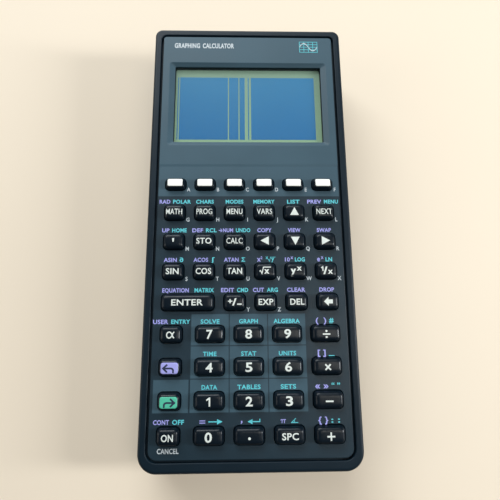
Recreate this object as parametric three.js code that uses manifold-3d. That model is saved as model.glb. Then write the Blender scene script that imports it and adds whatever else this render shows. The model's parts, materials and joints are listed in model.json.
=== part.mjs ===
// A handheld graphing calculator with a tilted face, forty-nine keys and a wide display.
// Millimetres. +X is to the right, +Y from the keys towards the display, +Z up.
// The face pieces are drawn in a face frame: its origin is the middle of the near edge of
// the face, +Z leaves the face, and the whole frame is tilted up towards the display end.
import * as THREE from "three";
import { mergeVertices } from "three/addons/utils/BufferGeometryUtils.js";
import Module from "manifold-3d";

const wasm = await Module();
wasm.setup();

// ---------- driving dimensions ----------
const CASE_LENGTH = 180;
const CASE_WIDTH = 81;
const FACE_TILT = THREE.MathUtils.degToRad(2.5);
const CASE_NEAR_RADIUS = 6.8;
const CASE_FAR_RADIUS = 3.2;
const CASE_EDGE = 1.2; // rounding between the rim and the side walls
const FRONT_WALL = 2.2;
const REAR_WALL = 2.4;
const FLOOR = 2;
const UNDERSIDE_EDGE = 2.2; // rounding between the side walls and the underside
const DRAFT = 0.6; // how far the rear walls lean in over their height
const RUNNING_GAP = 0.3; // between pieces that meet
const ARC_STEPS = 3; // fineness of the corners of a case outline
const KEY_ARC_STEPS = 1; // fineness of the corners of a key or its hole

const RIM_SIDE = 2.9; // rim beside the groove, at the two long sides
const RIM_NEAR = 3.8;
const RIM_FAR = 3;
const GROOVE = 0.9; // open channel between the rim and the face plate
const PLATE = 1.5;
const PLATE_NEAR_RADIUS = 3.2;
const PLATE_FAR_RADIUS = 1.4;
const DECK = 1; // shelf of the front shell under the face plate
const PARTING_DEPTH = 9; // of the joint between the two shells, below the face

const COLUMN_PITCH = 11.84;
const COLUMNS = 6;
const ROW_PITCH = 11.85;
const FIRST_ROW_Y = 12.7;
const KEY_WIDTH = 8.2;
const KEY_LENGTH = 6.3;
const MENU_KEY_LENGTH = 4.8;
const NUMBER_KEY_WIDTH = 10.9;
const NUMBER_PITCH = 14.47;
const KEY_RADIUS = 1.3;
const KEY_HEIGHT = 2.3; // above the face
const KEY_SHOULDER = 0.9; // height of the rounded shoulder
const KEY_HOLE_GAP = 0.35;
const KEY_FLANGE = 0.65; // how far the retaining flange reaches past the cap
const FLANGE = 0.7;
const KEY_TRAVEL = 1;

const DOME = 0.5; // rubber bump under each key
const DOME_WIDTH = 5;
const DOME_LENGTH = 3.6;
const MAT = 0.6;
const MAT_MARGIN = 6;
const BOARD = 0.9;
const BOARD_MARGIN = 5.6;

const WINDOW_WIDTH = 63;
const WINDOW_LENGTH = 35.4;
const WINDOW_FROM_FAR_END = 18; // far edge of the opening to the far end of the case
const PAN_DEPTH = 1;
const PAN_SIDE = 2.4; // width of the slopes around the opening
const PAN_FAR = 1.6;
const PAN_NEAR = 1.9;
const PANE = 0.8;
const PANE_LAP = 1.4; // how far the pane reaches under the face plate
const GLASS = 1.5;
const HOLDER = 1.6;
const HOLDER_LAP = 1.8;

const FOOT_PROUD = 0.9;
const FOOT_RADIUS = 3.2;
const FOOT_INSET = 6.7;
const FOOT_FROM_END = 8.5;
const FOOT_WEB = 0.6;
const FOOT_WEB_WIDTH = 3.4;

const PANEL_SKIN = 0.8;
const PANEL_TONGUE = 0.8;
const TONGUE_REACH = 1.5;
const PANEL_LIP = 0.5; // case material that holds each tongue
const PAD = 1; // floor thickness above and beside a panel's slot

const CELL_DIAMETER = 10.5;
const CELL_LENGTH = 44.5;
const CELLS = 3;
const CELL_GAP = 0.4;
const CONTACT_ROOM = 5.2; // at each end of the cells
const CONTACT_PLATE = 0.6;
const BAY_WALL = 1.2;
const BAY_CEILING = 0.8;
const BAY_NEAR_Y = 20.8; // outer face of the battery bay's near wall
const DOOR_LAP = 3; // door past the bay

const CARD_WIDTH = 51;
const CARD_HEIGHT = 10;
const CARD_BAY_LENGTH = 48;
const CARD_MOUTH_MARGIN = 0.8;
const COVER_LAP = 2; // card cover past the bay, at each side

// ---------- sizes that follow ----------
const rowY = (row) => FIRST_ROW_Y + row * ROW_PITCH;
const plateWidth = CASE_WIDTH - 2 * (RIM_SIDE + GROOVE);
const plateNear = RIM_NEAR + GROOVE;
const plateFar = CASE_LENGTH - RIM_FAR - GROOVE;
const deckTop = -PLATE - RUNNING_GAP;
const deckBottom = deckTop - DECK;
const flangeTop = deckBottom - RUNNING_GAP;
const flangeBottom = flangeTop - FLANGE;
const domeTop = flangeBottom - KEY_TRAVEL - RUNNING_GAP;
const matTop = domeTop - DOME;
const boardTop = matTop - MAT - RUNNING_GAP;
const boardBottom = boardTop - BOARD;
const keyFieldRight = (COLUMN_PITCH * (COLUMNS - 1) + KEY_WIDTH) / 2;
const windowFar = CASE_LENGTH - WINDOW_FROM_FAR_END;
const windowNear = windowFar - WINDOW_LENGTH;

const panelBottom = FOOT_PROUD;
const tongueBottom = panelBottom + PANEL_SKIN;
const panelTop = tongueBottom + PANEL_TONGUE;
const slotTop = panelTop + RUNNING_GAP;
const cellBottom = panelTop + RUNNING_GAP;
const bayCeilingBottom = cellBottom + CELL_DIAMETER + RUNNING_GAP;
const bayCeilingTop = bayCeilingBottom + BAY_CEILING;
// The face stands just high enough for the cells to clear the circuit board.
const faceHeight =
  bayCeilingTop + RUNNING_GAP - boardBottom * Math.cos(FACE_TILT) - BAY_NEAR_Y * Math.sin(FACE_TILT);
const faceToBase = new THREE.Matrix4().makeRotationX(FACE_TILT).setPosition(0, 0, faceHeight);
const baseLength = CASE_LENGTH * Math.cos(FACE_TILT);
const baseNear = PARTING_DEPTH * Math.sin(FACE_TILT);
const baseFar = baseNear + baseLength;
const tallest = faceHeight + CASE_LENGTH;

const bayWidth = CELL_LENGTH + 2 * CONTACT_ROOM;
const bayInnerNear = BAY_NEAR_Y + BAY_WALL;
const cellPitch = CELL_DIAMETER + CELL_GAP;
const bayInnerFar = bayInnerNear + CELLS * cellPitch + CELL_GAP + 2 * RUNNING_GAP;
const doorFar = bayInnerFar + DOOR_LAP;
const doorWidth = bayWidth;
const coverWidth = CARD_WIDTH + 2 * COVER_LAP;
const cardFar = baseFar - REAR_WALL;
const cardNear = cardFar - CARD_BAY_LENGTH;
const coverNear = cardNear + DOOR_LAP;
const cardTop = slotTop + CARD_HEIGHT;

// ---------- shapes and solids ----------
// A rectangle with round corners; its near corners and far corners may differ.
function roundedRectangle(width, near, far, nearRadius, farRadius) {
  const x = width / 2;
  const shape = new THREE.Shape();
  shape.moveTo(-x + nearRadius, near);
  shape.lineTo(x - nearRadius, near);
  shape.absarc(x - nearRadius, near + nearRadius, nearRadius, -Math.PI / 2, 0);
  shape.lineTo(x, far - farRadius);
  shape.absarc(x - farRadius, far - farRadius, farRadius, 0, Math.PI / 2);
  shape.lineTo(-x + farRadius, far);
  shape.absarc(-x + farRadius, far - farRadius, farRadius, Math.PI / 2, Math.PI);
  shape.lineTo(-x, near + nearRadius);
  shape.absarc(-x + nearRadius, near + nearRadius, nearRadius, Math.PI, 1.5 * Math.PI);
  return shape;
}

// A stack of copies of one outline. Each level has its z and how far it is drawn in at the
// two sides, at the near end and at the far end.
function loft(shape, levels, arcSteps = ARC_STEPS) {
  const bands = levels.length - 1;
  const geometry = new THREE.ExtrudeGeometry(shape, {
    steps: bands,
    depth: bands,
    bevelEnabled: false,
    curveSegments: arcSteps,
  });
  geometry.computeBoundingBox();
  const { min, max } = geometry.boundingBox;
  const position = geometry.attributes.position;
  for (let i = 0; i < position.count; i++) {
    const { z, side = 0, near = side, far = side } = levels[Math.round(position.getZ(i))];
    const alongX = (position.getX(i) - min.x) / (max.x - min.x);
    const alongY = (position.getY(i) - min.y) / (max.y - min.y);
    position.setXYZ(
      i,
      THREE.MathUtils.lerp(min.x + side, max.x - side, alongX),
      THREE.MathUtils.lerp(min.y + near, max.y - far, alongY),
      z,
    );
  }
  return geometry;
}

const prism = (shape, bottom, top, arcSteps) => loft(shape, [{ z: bottom }, { z: top }], arcSteps);

function block(width, near, far, bottom, top, x = 0) {
  const geometry = new THREE.BoxGeometry(width, far - near, top - bottom);
  return geometry.translate(x, (near + far) / 2, (bottom + top) / 2);
}

function solid(geometry) {
  const plain = geometry.clone();
  plain.deleteAttribute("normal");
  plain.deleteAttribute("uv");
  const merged = mergeVertices(plain, 1e-4);
  return new wasm.Manifold(
    new wasm.Mesh({
      numProp: 3,
      vertProperties: merged.attributes.position.array,
      triVerts: new Uint32Array(merged.index.array),
    }),
  );
}

const join = (...geometries) => geometries.map(solid).reduce((sum, next) => sum.add(next));
const cut = (whole, ...geometries) => whole.subtract(join(...geometries));
const inFaceFrame = (geometry) => geometry.applyMatrix4(faceToBase);

function geometryOf(manifold) {
  const mesh = manifold.getMesh();
  const geometry = new THREE.BufferGeometry();
  geometry.setAttribute("position", new THREE.BufferAttribute(mesh.vertProperties, 3));
  geometry.setIndex(new THREE.BufferAttribute(mesh.triVerts, 1));
  const flat = geometry.toNonIndexed();
  flat.computeVertexNormals();
  return flat;
}

const finish = (color, roughness, metalness = 0) =>
  new THREE.MeshStandardMaterial({ color, roughness, metalness });

const finishes = {
  caseDark: finish("#323c44", 0.55),
  slate: finish("#56666f", 0.6),
  key: finish("#151c24", 0.35),
  menuKey: finish("#e8e8e2", 0.45),
  shiftLeft: finish("#9d9ddc", 0.4),
  shiftRight: finish("#5fc8a5", 0.4),
  pane: finish("#9fb9a4", 0.1),
  glass: finish("#4884b4", 0.15),
  board: finish("#1f5a3a", 0.5),
  rubber: finish("#17191b", 0.9),
  cell: finish("#b98a3c", 0.35, 0.7),
};

function piece(name, geometry, material) {
  const mesh = new THREE.Mesh(geometry, material);
  mesh.name = name;
  return mesh;
}

// ---------- keys ----------
// Every key: its name, the middle of its cap on the face, and the cap's size.
function keyLayout() {
  const columnX = (column) => (column - (COLUMNS - 1) / 2) * COLUMN_PITCH;
  const numberX = (column) => keyFieldRight - NUMBER_KEY_WIDTH / 2 - (4 - column) * NUMBER_PITCH;
  const keys = [];
  const add = (name, x, row, width = KEY_WIDTH, length = KEY_LENGTH) =>
    keys.push({ name: `key_${name}`, x, y: rowY(row), width, length });
  const sixAcross = [
    ["sine", "cosine", "tangent", "square_root", "power", "reciprocal"],
    ["quote", "store", "evaluate", "arrow_left", "arrow_down", "arrow_right"],
    ["maths", "program", "custom", "variables", "arrow_up", "next"],
  ];
  const fiveAcross = [
    ["on", "0", "decimal", "space", "add"],
    ["shift_right", "1", "2", "3", "subtract"],
    ["shift_left", "4", "5", "6", "multiply"],
    ["alpha", "7", "8", "9", "divide"],
  ];
  fiveAcross.forEach((names, row) => {
    add(names[0], columnX(0), row);
    names.slice(1).forEach((name, i) => add(name, numberX(i + 1), row, NUMBER_KEY_WIDTH));
  });
  add("enter", (columnX(0) + columnX(1)) / 2, 4, COLUMN_PITCH + KEY_WIDTH);
  ["sign", "exponent", "delete", "backspace"].forEach((name, i) => add(name, columnX(i + 2), 4));
  sixAcross.forEach((names, i) => names.forEach((name, column) => add(name, columnX(column), 5 + i)));
  for (let column = 0; column < COLUMNS; column++) {
    add(`menu_${column + 1}`, columnX(column), 8, KEY_WIDTH, MENU_KEY_LENGTH);
  }
  return keys;
}

const keys = keyLayout();

const keyOutline = (width, length) =>
  roundedRectangle(width, -length / 2, length / 2, KEY_RADIUS, KEY_RADIUS);

function keyGeometry({ width, length }) {
  return loft(
    keyOutline(width, length),
    [
      { z: flangeBottom, side: -KEY_FLANGE },
      { z: flangeTop, side: -KEY_FLANGE },
      { z: flangeTop },
      { z: KEY_HEIGHT - KEY_SHOULDER, side: 0.25, near: 0.25, far: 0.8 },
      { z: KEY_HEIGHT, side: 1.1, near: 0.9, far: 1.7 },
    ],
    KEY_ARC_STEPS,
  );
}

const keyHoles = (bottom, top) =>
  keys.map(({ x, y, width, length }) =>
    prism(
      keyOutline(width + 2 * KEY_HOLE_GAP, length + 2 * KEY_HOLE_GAP),
      bottom,
      top,
      KEY_ARC_STEPS,
    ).translate(x, y, 0),
  );

function keyFinish(name) {
  if (name.startsWith("key_menu")) return finishes.menuKey;
  if (name === "key_shift_left") return finishes.shiftLeft;
  if (name === "key_shift_right") return finishes.shiftRight;
  return finishes.key;
}

// ---------- face frame pieces ----------
const caseOutline = () =>
  roundedRectangle(CASE_WIDTH, 0, CASE_LENGTH, CASE_NEAR_RADIUS, CASE_FAR_RADIUS);

const plateOutline = (spread = 0) =>
  roundedRectangle(
    plateWidth + 2 * spread,
    plateNear - spread,
    plateFar + spread,
    PLATE_NEAR_RADIUS + spread,
    PLATE_FAR_RADIUS + spread,
  );

const windowBlock = (spread, bottom, top) =>
  block(WINDOW_WIDTH + 2 * spread, windowNear - spread, windowFar + spread, bottom, top);

// Shallow recesses in the far end wall, for the infrared window and the data socket.
const farEndRecesses = () => [
  block(17, CASE_LENGTH - 1.2, CASE_LENGTH + 1, -7.4, -3, -15),
  block(11, CASE_LENGTH - 1.2, CASE_LENGTH + 1, -7.6, -2.8, 20),
];

function frontCase() {
  const outer = loft(caseOutline(), [
    { z: -PARTING_DEPTH },
    { z: -CASE_EDGE },
    { z: -0.3 * CASE_EDGE, side: 0.3 * CASE_EDGE },
    { z: 0, side: CASE_EDGE },
  ]);
  const below = -PARTING_DEPTH - 1;
  return cut(
    solid(outer),
    prism(plateOutline(GROOVE), deckTop, 1),
    loft(caseOutline(), [
      { z: below, side: FRONT_WALL },
      { z: deckBottom, side: FRONT_WALL },
    ]),
    windowBlock(PANE_LAP + RUNNING_GAP, deckBottom - 1, deckTop + 1),
    ...keyHoles(deckBottom - 1, deckTop + 1),
    ...farEndRecesses(),
  );
}

function facePlate() {
  const above = 0.2; // the sloped cutter runs this far past the face
  const grow = 1 + above / PAN_DEPTH;
  const pan = loft(
    new THREE.Shape([
      new THREE.Vector2(-WINDOW_WIDTH / 2, windowNear),
      new THREE.Vector2(WINDOW_WIDTH / 2, windowNear),
      new THREE.Vector2(WINDOW_WIDTH / 2, windowFar),
      new THREE.Vector2(-WINDOW_WIDTH / 2, windowFar),
    ]),
    [
      { z: -PAN_DEPTH },
      { z: above, side: -PAN_SIDE * grow, near: -PAN_NEAR * grow, far: -PAN_FAR * grow },
    ],
  );
  return cut(
    solid(prism(plateOutline(), -PLATE, 0)),
    pan,
    windowBlock(0, -PLATE - 1, 0.5 - PAN_DEPTH),
    ...keyHoles(-PLATE - 1, 1),
  );
}

const displayWindow = () => windowBlock(PANE_LAP, deckTop - PANE, deckTop);

function displayModule() {
  const top = deckBottom - RUNNING_GAP;
  return join(
    windowBlock(PANE_LAP, top - GLASS, top),
    windowBlock(PANE_LAP + HOLDER_LAP, top - GLASS - HOLDER, top - GLASS + 0.1),
  );
}

function keyMat() {
  const far = rowY(8) + MAT_MARGIN;
  const sheet = block(CASE_WIDTH - 2 * MAT_MARGIN, rowY(0) - MAT_MARGIN, far, matTop - MAT, matTop);
  const domes = keys.map(({ x, y }) =>
    loft(new THREE.Shape(rectanglePoints(DOME_WIDTH, DOME_LENGTH)), [
      { z: matTop - MAT / 2 },
      { z: matTop },
      { z: domeTop, side: 0.6 },
    ]).translate(x, y, 0),
  );
  return join(sheet, ...domes);
}

const rectanglePoints = (width, length) =>
  [
    [-1, -1],
    [1, -1],
    [1, 1],
    [-1, 1],
  ].map(([x, y]) => new THREE.Vector2((x * width) / 2, (y * length) / 2));

function circuitBoard() {
  const chips = [
    { x: 0, near: 72, width: 20, length: 20, tall: 2 },
    { x: -20, near: 98, width: 12, length: 22, tall: 2.4 },
    { x: 4, near: 98, width: 12, length: 22, tall: 2.4 },
    { x: 24, near: 70, width: 9, length: 14, tall: 3 },
  ].map(({ x, near, width, length, tall }) =>
    block(width, near, near + length, boardBottom - tall, boardBottom + 0.2, x),
  );
  const beeper = new THREE.CylinderGeometry(8, 8, 2.6, 20)
    .rotateX(Math.PI / 2)
    .translate(-23, 76, boardBottom - 1.2);
  const socketDepth = faceHeight - cardTop + CARD_HEIGHT / 2 + cardNear * Math.sin(FACE_TILT);
  const cardSocket = block(CARD_WIDTH - 4, cardNear - 5, cardNear - 1.5, -socketDepth, boardBottom + 0.2);
  const outline = roundedRectangle(
    CASE_WIDTH - 2 * BOARD_MARGIN,
    BOARD_MARGIN,
    CASE_LENGTH - BOARD_MARGIN,
    CASE_NEAR_RADIUS,
    CASE_FAR_RADIUS,
  );
  const board = prism(outline, boardBottom, boardTop);
  return join(board, ...chips, beeper, cardSocket);
}

// ---------- base frame pieces ----------
const baseOutline = () =>
  roundedRectangle(CASE_WIDTH, baseNear, baseFar, CASE_NEAR_RADIUS, CASE_FAR_RADIUS);

// The rear shell's outer form, before anything is cut out of it.
function rearForm() {
  const edge = UNDERSIDE_EDGE;
  const form = loft(baseOutline(), [
    { z: FOOT_PROUD, side: DRAFT + edge },
    { z: FOOT_PROUD + 0.25 * edge, side: DRAFT + 0.35 * edge },
    { z: FOOT_PROUD + edge, side: DRAFT },
    { z: faceHeight - PARTING_DEPTH },
    { z: tallest },
  ]);
  const aboveParting = inFaceFrame(
    block(
      2 * CASE_WIDTH,
      -CASE_LENGTH,
      2 * CASE_LENGTH,
      -PARTING_DEPTH - RUNNING_GAP,
      CASE_LENGTH,
    ),
  );
  return cut(solid(form), aboveParting);
}

// A panel that slides along Y with a tongue down each side, and the slot it runs in.
const panel = (width, near, far) => [
  block(width, near, far, panelBottom - 1, tongueBottom + 0.1),
  block(width + 2 * TONGUE_REACH, near, far, tongueBottom, panelTop),
];

const slotWidth = (width) => width + 2 * (TONGUE_REACH + RUNNING_GAP);

const panelSlot = (width, near, far) => [
  block(width + 2 * RUNNING_GAP, near, far, panelBottom - 1, slotTop),
  block(slotWidth(width), near, far, panelBottom + PANEL_LIP, slotTop),
];

const past = 20; // cutters run this far beyond the ends of the case

function rearCase() {
  const inner = loft(baseOutline(), [
    { z: FOOT_PROUD + FLOOR, side: REAR_WALL + DRAFT },
    { z: tallest, side: REAR_WALL + DRAFT },
  ]);
  const padWidth = (width) => slotWidth(width) + 2 * PAD;
  const floorTop = slotTop + PAD;
  const lipInner = REAR_WALL + 1.4;
  const ledgeTop = -PARTING_DEPTH - RUNNING_GAP;
  const lip = cut(
    join(
      loft(caseOutline(), [
        { z: ledgeTop - 2.5, side: REAR_WALL - 0.6 },
        { z: ledgeTop, side: REAR_WALL - 0.6 },
      ]),
      loft(caseOutline(), [
        { z: ledgeTop - 1, side: FRONT_WALL + RUNNING_GAP },
        { z: ledgeTop + 1.5, side: FRONT_WALL + RUNNING_GAP },
      ]),
    ),
    loft(caseOutline(), [
      { z: ledgeTop - 5, side: lipInner },
      { z: ledgeTop + 5, side: lipInner },
    ]),
  ).transform(faceToBase.elements);
  const bayOuter = bayWidth + 2 * BAY_WALL;
  const bayFar = bayInnerFar + BAY_WALL;
  const cardOuter = CARD_WIDTH + 2 * BAY_WALL;
  const walls = join(
    block(padWidth(doorWidth), baseNear + REAR_WALL, doorFar + 2, FOOT_PROUD + 1, floorTop),
    block(padWidth(coverWidth), coverNear - 2, baseFar - REAR_WALL, FOOT_PROUD + 1, floorTop),
    block(bayOuter, BAY_NEAR_Y, bayFar, floorTop - 0.5, bayCeilingTop),
    block(cardOuter, cardNear, baseFar - REAR_WALL, floorTop - 0.5, cardTop + BAY_CEILING),
  );
  const mouth = CARD_WIDTH + 2 * CARD_MOUTH_MARGIN;
  const feet = footPlaces().map(([x, y]) =>
    new THREE.CylinderGeometry(FOOT_RADIUS + RUNNING_GAP, FOOT_RADIUS + RUNNING_GAP, 20, 16)
      .rotateX(Math.PI / 2)
      .translate(x, y, 0),
  );
  return cut(
    cut(rearForm(), inner).add(lip).add(walls),
    ...panelSlot(doorWidth, baseNear - past, doorFar + RUNNING_GAP),
    ...panelSlot(coverWidth, coverNear - RUNNING_GAP, baseFar + past),
    block(bayWidth, bayInnerNear, bayInnerFar, 0, bayCeilingBottom),
    block(CARD_WIDTH, cardNear - past, cardFar + 0.1, slotTop, cardTop),
    block(CARD_WIDTH, coverNear + DOOR_LAP, cardFar, 0, cardTop),
    block(mouth, cardFar, baseFar + past, 0, cardTop + CARD_MOUTH_MARGIN),
    ...feet,
  );
}

const batteryDoor = () =>
  join(...panel(doorWidth, baseNear - past, doorFar)).intersect(rearForm());

function cardPortCover() {
  const endPlate = CARD_WIDTH + 2 * (CARD_MOUTH_MARGIN - RUNNING_GAP);
  const tall = cardTop + CARD_MOUTH_MARGIN - RUNNING_GAP;
  return join(
    ...panel(coverWidth, coverNear, baseFar + past),
    block(endPlate, cardFar + RUNNING_GAP, baseFar + past, tongueBottom, tall),
  ).intersect(rearForm());
}

// Three cells side by side across the case, joined end to end by two contact plates.
function batteryCells() {
  const z = cellBottom + CELL_DIAMETER / 2;
  const firstY = bayInnerNear + RUNNING_GAP + CELL_GAP + CELL_DIAMETER / 2;
  const cells = [...Array(CELLS).keys()].map((i) =>
    new THREE.CylinderGeometry(CELL_DIAMETER / 2, CELL_DIAMETER / 2, CELL_LENGTH, 20)
      .rotateZ(Math.PI / 2)
      .translate(0, firstY + i * cellPitch, z),
  );
  const plates = [0, 1].map((i) =>
    block(
      CONTACT_PLATE + 0.2,
      firstY + i * cellPitch - 3,
      firstY + (i + 1) * cellPitch + 3,
      z - 3,
      z + 3,
      (i ? 1 : -1) * (CELL_LENGTH / 2 + CONTACT_PLATE / 2 - 0.1),
    ),
  );
  return join(...cells, ...plates);
}

function footPlaces() {
  const x = CASE_WIDTH / 2 - FOOT_INSET;
  const ends = [baseNear + FOOT_FROM_END, baseFar - FOOT_FROM_END];
  return ends.flatMap((y) => [
    [-x, y],
    [x, y],
  ]);
}

// Four feet on one thin moulding that lies on the floor inside the case.
function rubberFeet() {
  const webBottom = FOOT_PROUD + FLOOR + RUNNING_GAP;
  const webTop = webBottom + FOOT_WEB;
  const places = footPlaces();
  const profile = [
    [0, 0],
    [FOOT_RADIUS - 0.4, 0],
    [FOOT_RADIUS, 0.4],
    [FOOT_RADIUS, webTop],
    [0, webTop],
  ].map(([r, z]) => new THREE.Vector2(r, z));
  const feet = places.map(([x, y]) =>
    new THREE.LatheGeometry(profile, 16).rotateX(Math.PI / 2).translate(x, y, 0),
  );
  const [sideX, nearY] = [places[1][0], places[1][1]];
  const farY = places[3][1];
  const strips = [-sideX, sideX].map((x) => block(FOOT_WEB_WIDTH, nearY, farY, webBottom, webTop, x));
  const middle = (doorFar + cardNear) / 2;
  const bridge = block(2 * sideX, middle - 2, middle + 2, webBottom, webTop);
  return join(...feet, ...strips, bridge);
}

// ---------- assembly ----------
const face = new THREE.Group();
face.rotation.x = FACE_TILT;
face.position.z = faceHeight;
face.add(
  piece("front_case", geometryOf(frontCase()), finishes.caseDark),
  piece("face_plate", geometryOf(facePlate()), finishes.slate),
  piece("display_window", displayWindow(), finishes.pane),
  piece("display_module", geometryOf(displayModule()), finishes.glass),
  piece("key_mat", geometryOf(keyMat()), finishes.rubber),
  piece("circuit_board", geometryOf(circuitBoard()), finishes.board),
);
for (const key of keys) {
  const cap = piece(key.name, keyGeometry(key), keyFinish(key.name));
  cap.position.set(key.x, key.y, 0);
  face.add(cap);
}

const calculator = new THREE.Group();
calculator.add(
  face,
  piece("rear_case", geometryOf(rearCase()), finishes.caseDark),
  piece("battery_door", geometryOf(batteryDoor()), finishes.caseDark),
  piece("card_port_cover", geometryOf(cardPortCover()), finishes.caseDark),
  piece("battery_cells", geometryOf(batteryCells()), finishes.cell),
  piece("rubber_feet", geometryOf(rubberFeet()), finishes.rubber),
);

// The origin is the middle of the underside: the feet stand on z = 0.
const bounds = new THREE.Box3().setFromObject(calculator, true);
calculator.position.y = -(bounds.min.y + bounds.max.y) / 2;

const root = new THREE.Group();
root.add(calculator);

export default root;
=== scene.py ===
import json
from math import atan2, cos, pi, radians, sin, tan

import bmesh
import bpy
from mathutils import Matrix, Vector, geometry
from mathutils.bvhtree import BVHTree


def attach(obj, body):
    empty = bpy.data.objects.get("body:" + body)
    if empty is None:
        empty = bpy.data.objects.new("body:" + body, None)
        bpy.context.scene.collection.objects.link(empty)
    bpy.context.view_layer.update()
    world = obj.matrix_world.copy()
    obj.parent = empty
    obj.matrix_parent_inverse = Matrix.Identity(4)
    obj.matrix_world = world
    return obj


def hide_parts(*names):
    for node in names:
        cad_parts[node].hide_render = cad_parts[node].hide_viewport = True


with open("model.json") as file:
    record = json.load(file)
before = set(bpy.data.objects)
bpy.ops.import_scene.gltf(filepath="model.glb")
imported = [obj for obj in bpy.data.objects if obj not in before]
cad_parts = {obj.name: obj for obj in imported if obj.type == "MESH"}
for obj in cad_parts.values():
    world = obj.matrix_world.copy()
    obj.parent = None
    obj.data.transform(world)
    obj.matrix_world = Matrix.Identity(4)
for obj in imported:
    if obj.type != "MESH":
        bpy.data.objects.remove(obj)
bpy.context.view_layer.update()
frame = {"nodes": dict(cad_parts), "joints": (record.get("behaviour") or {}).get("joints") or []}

MM = 0.001
scene = bpy.context.scene

# ---------- the face frame ----------
# Face pieces are drawn in millimetres on the tilted face: x to the right, y from the near
# edge of the case towards the display, z out of the face. FACE takes them to the row frame.
key_press = next(j for j in frame["joints"] if j["child"] == "key_enter")
TILT = atan2(key_press["axis"][1], -key_press["axis"][2])
FACE_TURN = Matrix.Rotation(TILT, 4, "X")


def span(node, turn=FACE_TURN):
    """Lowest and highest corner of a CAD node in millimetres along turned axes."""
    back = turn.inverted()
    points = [back @ v.co / MM for v in frame["nodes"][node].data.vertices]
    low = Vector([min(p[i] for p in points) for i in range(3)])
    high = Vector([max(p[i] for p in points) for i in range(3)])
    return low, high


case_low, case_high = span("front_case")
FACE_ORIGIN = Vector((0, case_low.y, case_high.z))
FACE = FACE_TURN @ Matrix.Translation(FACE_ORIGIN * MM) @ Matrix.Scale(MM, 4)
BASE_PLACE = FACE_TURN @ FACE_ORIGIN
BASE = Matrix.Translation((0, BASE_PLACE.y * MM, 0)) @ Matrix.Scale(MM, 4)
FACE_HEIGHT = BASE_PLACE.z
CASE_WIDTH = case_high.x - case_low.x
CASE_LENGTH = case_high.y - case_low.y
PARTING = case_low.z - case_high.z


def on_face(node):
    low, high = span(node)
    return low - FACE_ORIGIN, high - FACE_ORIGIN


def move(x, y, z=0):
    return Matrix.Translation((x, y, z))


def spun(degrees, axis, size=4):
    return Matrix.Rotation(radians(degrees), size, axis)


PLATE_LOW, PLATE_HIGH = on_face("face_plate")
DECK_TOP = PLATE_LOW.z - 0.3
DECK_BOTTOM = DECK_TOP - 1
NEAR_RADIUS = 6.8
FAR_RADIUS = 3.2
PLATE_RADII = (3.2, 1.4)  # of the face plate's near and far corners
GROOVE = 0.9
KEY_FLANGE = 0.65
KEY_GAP = 0.24
KEY_RADIUS = 1.6


# ---------- nodes ----------
def feed(tree, value, socket):
    """Sets an input to a number or colour, or joins a node, a socket or a Field to it."""
    value = getattr(value, "socket", value)
    if isinstance(value, bpy.types.Node):
        value = value.outputs[0]
    if isinstance(value, bpy.types.NodeSocket):
        tree.links.new(value, socket)
    elif value is not None:
        socket.default_value = value


def add_node(tree, kind, inputs, **settings):
    made = tree.nodes.new(kind)
    for setting, value in settings.items():
        setattr(made, setting, value)
    for socket, value in inputs.items():
        feed(tree, value, made.inputs[socket])
    return made


# ---------- colours and materials ----------
def srgb(red, green, blue):
    def linear(c):
        c /= 255
        return c / 12.92 if c <= 0.04045 else ((c + 0.055) / 1.055) ** 2.4

    return (linear(red), linear(green), linear(blue), 1)


def shade(colour, share):
    return tuple(min(1, c * share) for c in colour[:3]) + (1,)


class Finish:
    """A Principled material whose colour, roughness and relief follow Object coordinates."""

    def __init__(self, name, **sockets):
        self.material = bpy.data.materials.new(name)
        self.material.use_nodes = True
        self.tree = self.material.node_tree
        self.place = self.node("TexCoord").outputs["Object"]
        self.join(**sockets)

    def join(self, **sockets):
        """Sets or joins the shader's own sockets, which are named with underscores."""
        shader = self.tree.nodes["Principled BSDF"]
        for socket, value in sockets.items():
            feed(self.tree, value, shader.inputs[socket.replace("_", " ")])

    def node(self, kind, inputs={}, **settings):
        return add_node(self.tree, "ShaderNode" + kind, inputs, **settings)

    def noise(self, scale, detail=3.0, stretch=None):
        vector = self.node("Mapping", {"Vector": self.place, "Scale": stretch}) if stretch else self.place
        return self.node("TexNoise", {"Vector": vector, "Scale": scale, "Detail": detail})

    def spread(self, value, low, high, from_low=0.3, from_high=0.7):
        return self.node("MapRange", {0: value, 1: from_low, 2: from_high, 3: low, 4: high})

    def mix(self, factor, first, second):
        return self.node("Mix", {0: factor, 6: first, 7: second}, data_type="RGBA").outputs[2]

    def math(self, operation, first, second=None):
        return self.node("Math", {0: first, 1: second}, operation=operation)

    def along(self, axis):
        return self.node("SeparateXYZ", {0: self.place}).outputs[axis]

    def dress(self, colour, patches, smooth, rough, height=None, depth=0):
        """Joins up a colour, a roughness that varies in patches, and a relief."""
        relief = self.node("Bump", {"Height": height, "Distance": depth}) if height else None
        patchy = self.spread(patches, smooth, rough)
        self.join(Base_Color=colour, Roughness=patchy, Normal=relief)
        return self.material


def moulded(name, colour, rough, grain=2600, depth=0.00003, cloud=0.07, worn=0.12, **sockets):
    """Moulded plastic: a fine spark-eroded grain, faint cloudiness, and paler worn edges."""
    sockets.setdefault("Specular_IOR_Level", 0.3)
    finish = Finish(name, **sockets)
    cloudy = finish.spread(finish.noise(45), 0, 1)
    body = finish.mix(cloudy, shade(colour, 1 - cloud), shade(colour, 1 + cloud))
    if worn:
        edge = finish.node("NewGeometry").outputs["Pointiness"]
        patchy = finish.spread(finish.noise(180), 0.2, 1)
        rubbed = finish.math("MULTIPLY", finish.spread(edge, 0, worn, 0.52, 0.6), patchy)
        body = finish.mix(rubbed, body, shade(colour, 2.2))
    return finish.dress(body, finish.noise(90), rough - 0.025, rough + 0.03, finish.noise(grain, 2), depth)


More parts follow.
